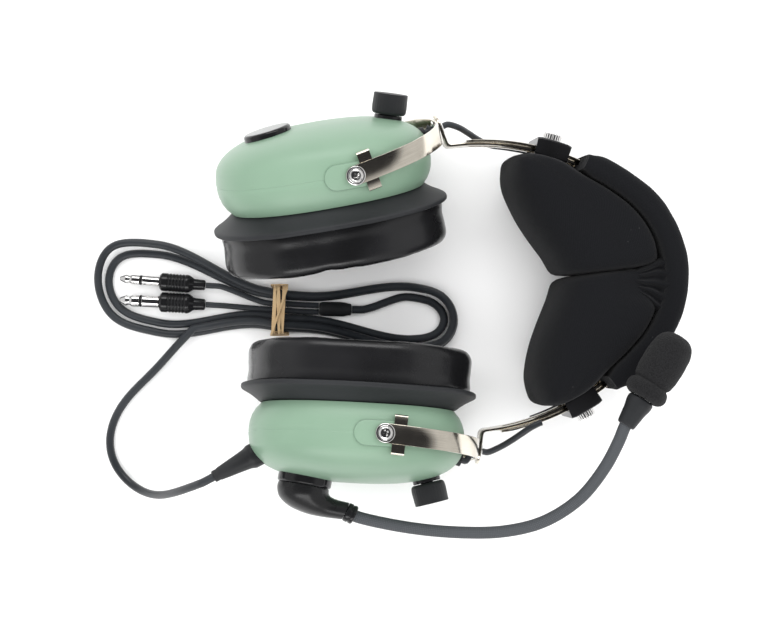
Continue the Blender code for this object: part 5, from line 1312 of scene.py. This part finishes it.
def pad_lobe(side):
    """One foam lobe: flat-faced, full at its inner edge, drawn down under the gathers."""
    way = 1 if side == "right" else -1
    inner = smooth_curve([(x * MM, y * MM, 0) for x, y in PAD_INSIDE], 1.35 * MM)
    count = len(inner)
    rows = []
    for i in range(count):
        share = i / (count - 1)
        angle = 1.7 + (72.5 - 1.7) * share ** 0.93
        offset = -SLEEVE_INSIDE - 0.35 * MM
        if angle > SLEEVE_END + 0.5:
            offset += 3.2 * MM * min(1.0, (angle - SLEEVE_END - 0.5) / 3)
        height = PAD_HALF_WIDTH - 0.4 * MM
        if share < 0.3:
            height -= 4.0 * MM * (1 - share / 0.3) ** 2 * 0.5
        if share > 0.75:
            height -= 5.0 * MM * ((share - 0.75) / 0.25) ** 2
        outer, inside = band_point(angle, offset, 0), Vector(inner[i])
        meet = 1 - ease(share / 0.16)
        outer.y -= meet * (outer.y + 0.7 * MM)
        inside.y -= meet * (inside.y + 0.7 * MM)
        rows.append((outer, inside, height, 2.9))
    rows.append((band_point(73.4, -5.3 * MM, 0), Vector((-20.2 * MM, 61.8 * MM, 0)), PAD_HALF_WIDTH - 7 * MM,
                 2.7))
    rows.append((band_point(74.3, -5.5 * MM, 0), Vector((-19.6 * MM, 62.9 * MM, 0)),
                 PAD_HALF_WIDTH - 9.5 * MM, 2.6))
    rows.append((band_point(75.3, -6.2 * MM, 0), Vector((-18.4 * MM, 64.0 * MM, 0)), PAD_HALF_WIDTH - 14 * MM,
                 2.4))
    rings = []
    for outer, inside, height, power in rows:
        middle, reach = (outer + inside) / 2, (outer - inside).length / 2
        unit = (inside - outer).normalized()
        ring = []
        for a in np.linspace(0, 2 * math.pi, 72, endpoint=False):
            c, s = math.cos(a), math.sin(a)
            square = power if c > 0 else 7.0
            p = middle + unit * reach * math.copysign(abs(c) ** (2 / square), c)
            up = height * math.copysign(abs(s) ** (2 / square), s)
            x, y = p.x, way * p.y
            face = abs(up) / height
            sink = GATHER_DEPTH * wedge_depth(x, y) * ease((face - 0.3) / 0.5)
            lump = 0.55 * MM * ripple((x, y, up), 0.022, 1.0 + way) + 0.16 * MM * ripple((x, y, up), 0.007,
                                                                                         4.0)
            up = math.copysign(max(abs(up) - sink + lump * face, 0), up)
            inward = ease((c - 0.2) / 0.8)
            ring.append(Vector((x - lump * inward * 0.6, y, up)))
        rings.append(ring)
    mesh = softened(skin("lobe", rings), PAD_SOFTENING)
    piece(side + "_pad_lobe", moved(mesh, BAND), CLOTH, "headband", ["head_pad_" + side], 70)


def pad_gathers(name, way):
    """Cover cloth gathered between the lobes at the crown, on one face of the pad."""
    rows, columns = 26, 64
    base = PAD_HALF_WIDTH - GATHER_DEPTH - 0.6 * MM
    top, under = [], []
    for i in range(rows):
        s = 0.10 + 0.90 * i / (rows - 1)
        upper, lower = [], []
        for j in range(columns):
            t = -0.07 + 1.14 * j / (columns - 1)
            p = GATHER_TIP + (GATHER_TOP.lerp(GATHER_BASE, t) - GATHER_TIP) * s
            fold = math.sin(2 * math.pi * (4.3 * t + 0.35 * ripple((s * 3, t * 2, 0), 1.0, 1.5)) + 0.9)
            deep = 1.7 * MM * ease(s * 1.6) * (0.75 + 0.5 * ripple((s * 2, t * 5, 3), 1.0))
            edge = ease(1 - min(t + 0.07, 1.07 - t) / 0.14)
            z = base + 1.6 * MM * s + deep * fold - 1.2 * MM * edge + 0.25 * MM * ripple(p, 0.004, 9.0)
            if s > 0.86:
                z += 3.0 * MM * ease((s - 0.86) / 0.14)
            upper.append(Vector((p.x, p.y, way * z)))
            lower.append(Vector((p.x, p.y, way * (base - 3.2 * MM))))
        top.append(upper)
        under.append(lower)
    rings = [up + down[::-1] for up, down in zip(top, under)]
    piece(name, moved(skin("gathers", rings, ends="flat"), BAND), CLOTH, "headband", sharp=80)


def head_pad():
    pad_sleeve()
    pad_lobe("right")
    pad_lobe("left")
    pad_gathers("front_gathers", 1)
    pad_gathers("back_gathers", -1)


# ---- crossover cord from dome to dome ----
def crossover():
    line = [BAND @ band_point(a, 0, CROSSOVER_LEVEL) for a in np.linspace(-CROSSOVER_END, CROSSOVER_END, 121)]
    piece("crossover_run", pipe("run", line, CROSSOVER, 20), CABLE, "headband", ["crossover_cord"], 60)
    for side in ("right", "left"):
        x = DOME_SHIFT + DOME_LENGTH / 2 * dome_scale(GROMMET_SEAT)
        seat = CUP[side] @ along_frame((x, GROMMET_SEAT, 0), (1, 0.25, 0))
        heading = seat.to_3x3() @ Vector((0, 0, 1))
        route = [seat @ Vector((0, 0, 1.4 * MM + GAP))]
        route += [CUP[side] @ Vector((YOKE_REACH - x * MM, y * MM, 0)) for x, y in LEAD_TURN]
        route += [SWIVEL[side] @ (Vector(p) * MM) for p in ((-5.0, 2.0, 0), (-4.4, 0.6, 0), (-3.2, 0, 0),
                                                            (-1.5, 0, 0),
                                                          (0.4, 0, 0), (2.4, 0, 0), (4.6, 0.1, -0.4))]
        for angle, offset, z in ((88.0, 8.2, -3.2), (85.6, 5.6, -8.0), (83.2, 2.9, -12.2), (80.8, 0.8, -14.7),
                                 (78.8, 0.0, CROSSOVER_LEVEL / MM)):
            route.append(SIDE[side] @ band_point(angle, offset * MM, z * MM))
        end = CROSSOVER_END + math.degrees(GAP / SIDE_RADIUS)
        route.append(SIDE[side] @ band_point(end, 0, CROSSOVER_LEVEL))
        leaving = SIDE[side].to_3x3() @ (band_point(end - 1, 0, 0) - band_point(end, 0, 0))
        line = cord_line([tuple(p) for p in route], heading, leaving, 1.5 * MM, 0.7 * MM)
        eye = SWIVEL[side].translation
        split = int(np.argmin(np.linalg.norm(line - np.array(eye), axis=1)))
        first = piece(side + "_lead_to_cup", pipe("lead", line[:split + 1], CROSSOVER, 20), CABLE,
                      nodes=[side + "_crossover_lead"], sharp=60)
        tuple(line[0])
        tuple(line[split - LEAD_STILL])
        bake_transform(first)
        second = piece(side + "_lead_to_band", pipe("lead", line[split:], CROSSOVER, 20), CABLE, sharp=60)
        tuple(line[split + LEAD_STILL])
        tuple(line[-1])
        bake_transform(second)


# ---- boom and microphone ----
def filled_in(rows, steps):
    """Smooth rows between given rows of numbers."""
    rows = np.array(rows, dtype=float)
    out = []
    for i in range(len(rows) - 1):
        before, after = rows[max(i - 1, 0)], rows[min(i + 2, len(rows) - 1)]
        for t in np.linspace(0, 1, steps, endpoint=False):
            out.append(0.5 * (2 * rows[i] + (rows[i + 1] - before) * t
                              + (2 * before - 5 * rows[i] + 4 * rows[i + 1] - after) * t ** 2
                              + (3 * rows[i] - before - 3 * rows[i + 1] + after) * t ** 3))
    return out + [rows[-1]]


def boom():
    hinge = CUP["left"] @ seat_frame(MOUNT_PLACE) @ Matrix.Translation((0, 0, MOUNT_HEIGHT + GAP))
    rings = []
    first = ELBOW[0]
    flat = [[*(0.96 * v for v in first[0]), *(0.96 * v for v in first[1]), first[2] * 0.96]]
    flat += [[*a, *b, depth] for a, b, depth in ELBOW]
    for x1, y1, x2, y2, depth in filled_in(flat, 6):
        middle = Vector(((x1 + x2) / 2, 0, (y1 + y2) / 2)) * MM
        half = Vector(((x1 - x2) / 2, 0, (y1 - y2) / 2)) * MM
        rings.append([middle + half * math.cos(a) + Vector((0, depth * MM * math.sin(a), 0))
                      for a in np.linspace(0, 2 * math.pi, 64, endpoint=False)])
    piece("boom_swivel", moved(skin("elbow", rings), hinge), ELBOW_RUBBER, "boom", ["boom_elbow"], 60)
    lean = math.radians(BOOM_LEAN)
    direction = Vector((math.cos(lean), 0, math.sin(lean)))
    (x1, y1), (x2, y2), depth = ELBOW[-1]
    start = Vector(((x1 + x2) / 2 * MM, 0, (y1 + y2) / 2 * MM)) + direction * GAP
    r = COLLAR_DIAMETER / 2
    rows = rounded([(BOOM_DIAMETER / 2 + 0.05 * MM, 0), (r - 0.4 * MM, 0), (r, 0.6 * MM),
                    (r, COLLAR_LENGTH * 0.45),
                    (r * 0.93, COLLAR_LENGTH * 0.5), (r * 0.93, COLLAR_LENGTH * 0.6),
                    (r, COLLAR_LENGTH * 0.65),
                    (r, COLLAR_LENGTH - 0.6 * MM), (r - 0.5 * MM, COLLAR_LENGTH),
                    (BOOM_DIAMETER / 2 + 0.05 * MM, COLLAR_LENGTH)], 0.3 * MM, 3)
    collar = turned("collar", rows, 56, True)
    piece("boom_ring", moved(collar, hinge @ along_frame(start, direction)), PLASTIC, "boom",
          ["boom_collar"], 50)
    cup = CUP["left"]
    boot_start = MUFF_START - MIC_DIRECTION * (BOOT_LENGTH + GAP)
    route = [hinge @ (start + direction * (1.5 * MM + GAP)),
             hinge @ (start + direction * (COLLAR_LENGTH + 1 * MM))]
    route += [cup @ (Vector(p) * MM) for p in BOOM_ROUTE]
    route += [cup @ boot_start, cup @ (boot_start + MIC_DIRECTION * 4.5 * MM)]
    heading, arriving = hinge.to_3x3() @ direction, cup.to_3x3() @ MIC_DIRECTION
    line = smooth_curve([tuple(p) for p in route], 1.2 * MM, (heading, arriving))
    piece("flexible_boom", pipe("boom", line, BOOM_DIAMETER, 32), BRAID, "boom", ["mic_boom"], 60)
    rows = rounded([(BOOM_DIAMETER / 2 + 0.1 * MM, 3 * MM), (BOOM_DIAMETER / 2 + 0.1 * MM, 0), (4.2 * MM, 0),
                    (4.6 * MM, 1.2 * MM), (5.5 * MM, 8 * MM), (6.5 * MM, 12.0 * MM), (6.5 * MM, 14.2 * MM),
                    (5.7 * MM, BOOT_LENGTH), (0.1 * MM, BOOT_LENGTH)], 0.5 * MM, 4)
    boot = turned("boot", rows, 64)
    piece("mic_sleeve", moved(boot, cup @ along_frame(boot_start, MIC_DIRECTION)), FLANGE, "boom",
          ["mic_boot"], 50)
    radius = MUFF_RADIUS
    rows = rounded([(4.9 * MM, MIC_LENGTH * 0.5), (4.9 * MM, 0), (7.4 * MM, -0.2 * MM), (9.9 * MM, 1.4 * MM),
                    (10.7 * MM, 4.0 * MM), (9.9 * MM, 6.9 * MM), (8.1 * MM, 8.15 * MM), (9.4 * MM, 9.4 * MM),
                    (radius - 0.1 * MM, 13 * MM), (radius + 0.1 * MM, 20 * MM),
                    (radius - 0.2 * MM, 26.5 * MM),
                    (radius - 1.6 * MM, 31.4 * MM), (radius - 4.6 * MM, MUFF_LENGTH - 0.7 * MM),
                    (2 * MM, MUFF_LENGTH), (0.1 * MM, MUFF_LENGTH)], 3.0 * MM, 7)

    def lumpy(angle, row):
        size, height = rows[row]
        if size < 5.2 * MM:
            return 1
        return 1 + 0.016 * ripple((math.cos(angle) * 2, math.sin(angle) * 2, height * 300), 1.0)

    place = cup @ along_frame(MUFF_START, MIC_DIRECTION)
    piece("foam_muff", moved(turned("muff", rows, 96, size=lumpy), place), FOAM, "boom",
                    ["mic_muff"], 70)
    refinish("microphone", PLASTIC)


# ---- cord, hank and plugs, as they lie on the table ----
LAY = Matrix.Translation((BAND.translation.x - LAY_CENTRE[0] * MM, BAND.translation.y - LAY_CENTRE[1] * MM,
                          0))


def hank_point(a):
    """Point of the winding at angle a in degrees, in the cords' own frame."""
    turned_in = HANK_PITCH * (a - 590) / 360
    inset = turned_in + (2.4 - turned_in) * (1 - ease((a - 440) / 60))
    level = 2.25 + (7.0 - 2.25) * (1 - ease((a - 500) / 90))
    r = math.radians(a)
    x = HANK_MIDDLE + (HANK_REACH - inset) * math.cos(r)
    s = 2.1 * math.sin(r)
    swing = s / (1 + s ** 4) ** 0.25
    if x > WAIST:
        middle = 6 - 0.06 * (x - WAIST)
        half = 10.4 + 8.9 * ease((x - WAIST - 15) / 55)
    else:
        middle = 6 - 0.16 * (x - WAIST)
        half = 10.4 + 13 * ease((WAIST - x - 8) / 55)
    lift = 2.0 * math.exp(-((x - WAIST) / 16) ** 2)
    return np.array([x, middle + (half - inset) * swing, level + lift]) * MM


def hank_heading():
    """Direction of the cord where the winding starts."""
    ahead = hank_point(HANK_START + 0.5) - hank_point(HANK_START)
    return ahead / np.linalg.norm(ahead)


def hank_line():
    unit = np.array(JUNCTION[1], dtype=float) - np.array(JUNCTION[0])
    unit = unit / np.linalg.norm(unit)
    route = [hank_point(a) for a in np.arange(HANK_START, HANK_END, 3.0)]
    route += [np.array(p) * MM for p in HANK_TAIL] + [np.array(JUNCTION[0]) * MM - unit * GAP]
    return cord_line(route, hank_heading(), unit, CORD, CORD_STEP)


def cord_curve(name, points, diameter, nodes):
    """A free cord as a curve of one open spline, on the left cup."""
    curve = bpy.data.curves.new(name, "CURVE")
    curve.dimensions, curve.bevel_depth, curve.bevel_resolution = "3D", diameter / 2, 5
    curve.use_fill_caps = True
    spline = curve.splines.new("POLY")
    spline.points.add(len(points) - 1)
    for point, place in zip(spline.points, points):
        point.co = (*place, 1)
    curve.materials.append(CABLE)
    obj = bpy.data.objects.new(name, curve)
    bpy.context.collection.objects.link(obj)
    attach(obj, "left_cup")
    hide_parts(*nodes)
    return obj


def tie(near):
    """Rubber band round the waist: strands side by side, one slipped across the others."""
    room = CORD / 2 + 0.35 * MM
    low_y, high_y = near[:, 1].min() - room, near[:, 1].max() + room
    low_z, high_z = near[:, 2].min() - room, near[:, 2].max() + room
    for number, (shift, lean, thick, wide, out) in enumerate((
            (-2.3, 0.05, 0.95, 1.9, 0.0), (0.1, -0.04, 0.95, 2.0, 0.0), (2.3, 0.06, 0.95, 1.8, 0.0),
            (0.6, 0.34, 0.8, 1.1, 0.95))):
        corner = 2.0 * MM + thick * MM + out * MM
        grow = thick * MM + out * MM
        path = rounded_box(low_y - grow, high_y + grow, low_z - min(grow, 1.15 * MM), high_z + grow, corner,
                           8)
        rings = []
        middle = sum(y for y, z in path) / len(path)
        for i, (y, z) in enumerate(path):
            before, after = Vector(path[i - 1]), Vector(path[(i + 1) % len(path)])
            ahead = (after - before).normalized()
            inward = Vector((-ahead.y, ahead.x))
            x = (WAIST + shift) * MM + lean * (y - middle) * (1 if z > (low_z + high_z) / 2 else -1)
            x = min(max(x, (WAIST - 4.4) * MM), (WAIST + 4.4) * MM)
            ring = []
            for s, w in ((0.06, 1), (0.5, 1.06), (0.94, 1), (1, 0.5), (1, -0.5), (0.94, -1), (0.5, -1.06),
                         (0.06, -1)):
                p = Vector((y, z)) + inward * (s * thick * MM)
                ring.append(Vector((x + w * wide / 2 * MM, p.x, p.y)))
            rings.append(ring)
        nodes = ["cord_tie"] if number == 0 else []
        yield piece(f"tie_strand_{number + 1}", moved(skin("strand", rings, True), LAY), TAN, "left_cup",
                    nodes, 60)


def plug_ends(rear, tip, radius):
    """A plug's rear and its tip, just above the table."""
    return [Vector((x * MM, y * MM, radius + TABLE_GAP)) for x, y in (rear, tip)]


def plug(name, rear, tip, body_size, pin_size):
    """Plug body with a ribbed grip and its plated pin with two insulating rings."""
    radius = body_size / 2 * MM
    p, q = plug_ends(rear, tip, radius)
    place = LAY @ along_frame(p, q - p)
    rows = [(radius * 0.42, 0), (radius * 0.56, 0.5 * MM), (radius * 0.62, 6 * MM), (radius * 0.94, 8.3 * MM),
            (radius, 9.5 * MM)]
    for i in range(6):
        low = 10.4 * MM + i * 1.7 * MM
        rows += [(radius, low), (radius * 0.94, low + 0.35 * MM), (radius * 0.94, low + 0.75 * MM),
                 (radius, low + 1.1 * MM)]
    rows += [(radius, PLUG_BODY - MM), (radius - MM, PLUG_BODY), (0.1 * MM, PLUG_BODY)]
    body = piece(name + "_plug_grip", moved(turned("body", rounded(rows, 0.2 * MM, 2), 56), place), PLASTIC,
                 "left_cup", [name + "_plug_body"], 40)
    rp = pin_size / 2 * MM
    low, end = PLUG_BODY + GAP, (q - p).length
    rows = rounded([(0.1 * MM, low), (rp, low), (rp, low + 9 * MM), (rp * 0.86, low + 9.2 * MM),
                    (rp * 0.86, low + 10.3 * MM),
                    (rp, low + 10.5 * MM), (rp, end - 6.4 * MM), (rp * 0.72, end - 5.0 * MM),
                    (rp * 0.95, end - 3.2 * MM),
                    (rp * 0.4, end), (0.05 * MM, end)], 0.4 * MM, 4)
    pin = piece(name + "_plug_tip", moved(turned("pin", rows, 48), place), CHROME, "left_cup",
                [name + "_plug_pin"], 50)
    ring = turned("ring", [(rp * 0.8, low + 9.25 * MM), (rp * 0.985, low + 9.3 * MM),
                           (rp * 0.985, low + 10.2 * MM),
                           (rp * 0.8, low + 10.25 * MM)], 48, True)
    rest = piece(name + "_plug_insulator", moved(ring, place), PLASTIC, "left_cup", sharp=50)
    return [body, pin, rest]


def cords():
    sleeve, relief_seat = strain_relief()
    tip = LAY.inverted() @ relief_seat @ Vector((0, 0, RELIEF_LENGTH + GAP))
    out = relief_seat.to_3x3() @ Vector((0, 0, 1))
    heading = hank_heading()
    route = [np.array(tip)] + [np.array((tip.x + x * MM, tip.y + y * MM, z * MM)) for x, y, z in CORD_DROP]
    route += [np.array(p) * MM for p in CORD_ROUTE] + [hank_point(HANK_START) - heading * GAP]
    main = cord_line(route, out, heading, CORD, CORD_STEP)
    for _ in range(CORD_SMOOTHING):
        main[3:-3] = (main[2:-4] + main[3:-3] * 2 + main[4:-2]) / 4
    hank = hank_line()
    shift = np.array(LAY.translation)
    whole = np.vstack([[main[0] - np.array(out) * 2 * MM], main, hank]) + shift
    cord = cord_curve("headset_cord", whole, CORD, ["main_cord", "cord_hank"])
    a, b = (Vector(p) * MM for p in JUNCTION)
    length, r = (b - a).length, JUNCTION_DIAMETER / 2
    rows = rounded([(CORD / 2, 0), (r * 0.8, 0.3 * MM), (r * 0.86, 2 * MM), (r, 4.2 * MM),
                    (r, length - 4 * MM),
                    (r * 0.95, length - MM), (r * 0.8, length), (0.1 * MM, length)], 0.8 * MM, 4)
    junction = piece("lead_junction", moved(turned("junction", rows, 48), LAY @ along_frame(a, b - a)),
                     RUBBER, "left_cup", ["cord_junction"], 50)
    near = []
    for p, q in zip(hank[:-1], hank[1:]):
        near += [p + (q - p) * t for t in np.linspace(0, 1, 6)]
    near = np.array([v for v in near if abs(v[0] / MM - WAIST) < TIE_WIDTH / MM / 2 + 1])
    strands = list(tie(near))
    unit = (b - a).normalized()
    for name, (rear, tip_place, body_size, pin_size, side) in PLUGS.items():
        pieces = plug(name, rear, tip_place, body_size, pin_size)
        p, q = plug_ends(rear, tip_place, body_size / 2 * MM)
        axis = (q - p).normalized()
        across = Vector((-unit.y, unit.x, 0)) * side * -1.8 * MM
        waist = Vector((WAIST * MM, (7.3 + side * 1.78) * MM, 4.3 * MM))
        route = [b + unit * GAP + across, waist, waist + Vector((-8 * MM, 0.5 * MM, 0)), p - axis * 8 * MM,
                 p - axis * GAP]
        line = cord_line([tuple(v) for v in route], unit, axis, LEAD, 1.5 * MM) + shift
        lead = cord_curve(name + "_cord", line, LEAD, [name + "_lead"])


# ---- floor, light and camera ----
def studio():
    bpy.ops.mesh.primitive_plane_add(size=8, location=(0, 0, -0.05 * MM))
    floor = bpy.context.object
    floor.name = "floor"
    material, tree, shader = finish("pale_floor", 0.9, Specular_IOR_Level=0.1)
    shader.inputs["Base Color"].default_value = (0.92, 0.92, 0.92, 1)
    floor.data.materials.append(material)
    world = bpy.data.worlds.new("studio")
    world.use_nodes = True
    bpy.context.scene.world = world
    tree = world.node_tree
    back = tree.nodes["Background"]
    where = tree.nodes.new("ShaderNodeTexCoord")
    split = tree.nodes.new("ShaderNodeSeparateXYZ")
    tree.links.new(where.outputs["Generated"], split.inputs[0])
    ramp = tree.nodes.new("ShaderNodeValToRGB")
    ramp.color_ramp.elements[0].position, ramp.color_ramp.elements[0].color = 0.64, (0.95, 0.95, 0.95, 1)
    ramp.color_ramp.elements[1].position, ramp.color_ramp.elements[1].color = 0.82, (0.05, 0.05, 0.053, 1)
    tree.links.new(split.outputs[2], ramp.inputs["Fac"])
    tree.links.new(ramp.outputs["Color"], back.inputs["Color"])
    back.inputs["Strength"].default_value = 0.78
    for name, place, size, power in (("left_box", (-0.95, 0.15, 0.85), (0.9, 0.7), 5.0),
                                     ("right_box", (0.95, 0.25, 0.9), (0.9, 0.6), 5.0),
                                     ("far_box", (0.05, 1.05, 0.85), (1.1, 0.5), 7.0),
                                     ("near_box", (-0.1, -1.05, 0.9), (1.1, 0.5), 6.5)):
        light = bpy.data.lights.new(name, "AREA")
        light.shape, light.size, light.size_y, light.energy = "RECTANGLE", size[0], size[1], power
        obj = bpy.data.objects.new(name, light)
        bpy.context.collection.objects.link(obj)
        obj.location = place
        obj.visible_glossy = name in ("far_box", "near_box")
        obj.rotation_mode = "QUATERNION"
        obj.rotation_quaternion = (Vector((0, 0, 0.03)) - Vector(place)).to_track_quat("-Z", "Y")
    sun = bpy.data.lights.new("overhead", "SUN")
    sun.energy, sun.angle = 2.3, math.radians(70)
    overhead = bpy.data.objects.new("overhead", sun)
    overhead.visible_glossy = False
    bpy.context.collection.objects.link(overhead)
    view = bpy.context.scene.view_settings
    view.view_transform, view.look = "Standard", "None"
    camera = bpy.data.cameras.new("camera")
    camera.sensor_width = SENSOR
    camera.lens = SENSOR * CAMERA_FOCAL / IMAGE_WIDTH
    camera.clip_start, camera.clip_end = 0.05, 20
    obj = bpy.data.objects.new("camera", camera)
    bpy.context.collection.objects.link(obj)
    obj.location = CAMERA_PLACE
    bpy.context.scene.camera = obj


studio()
cords()
cups()
steelwork()
head_pad()
crossover()
boom()
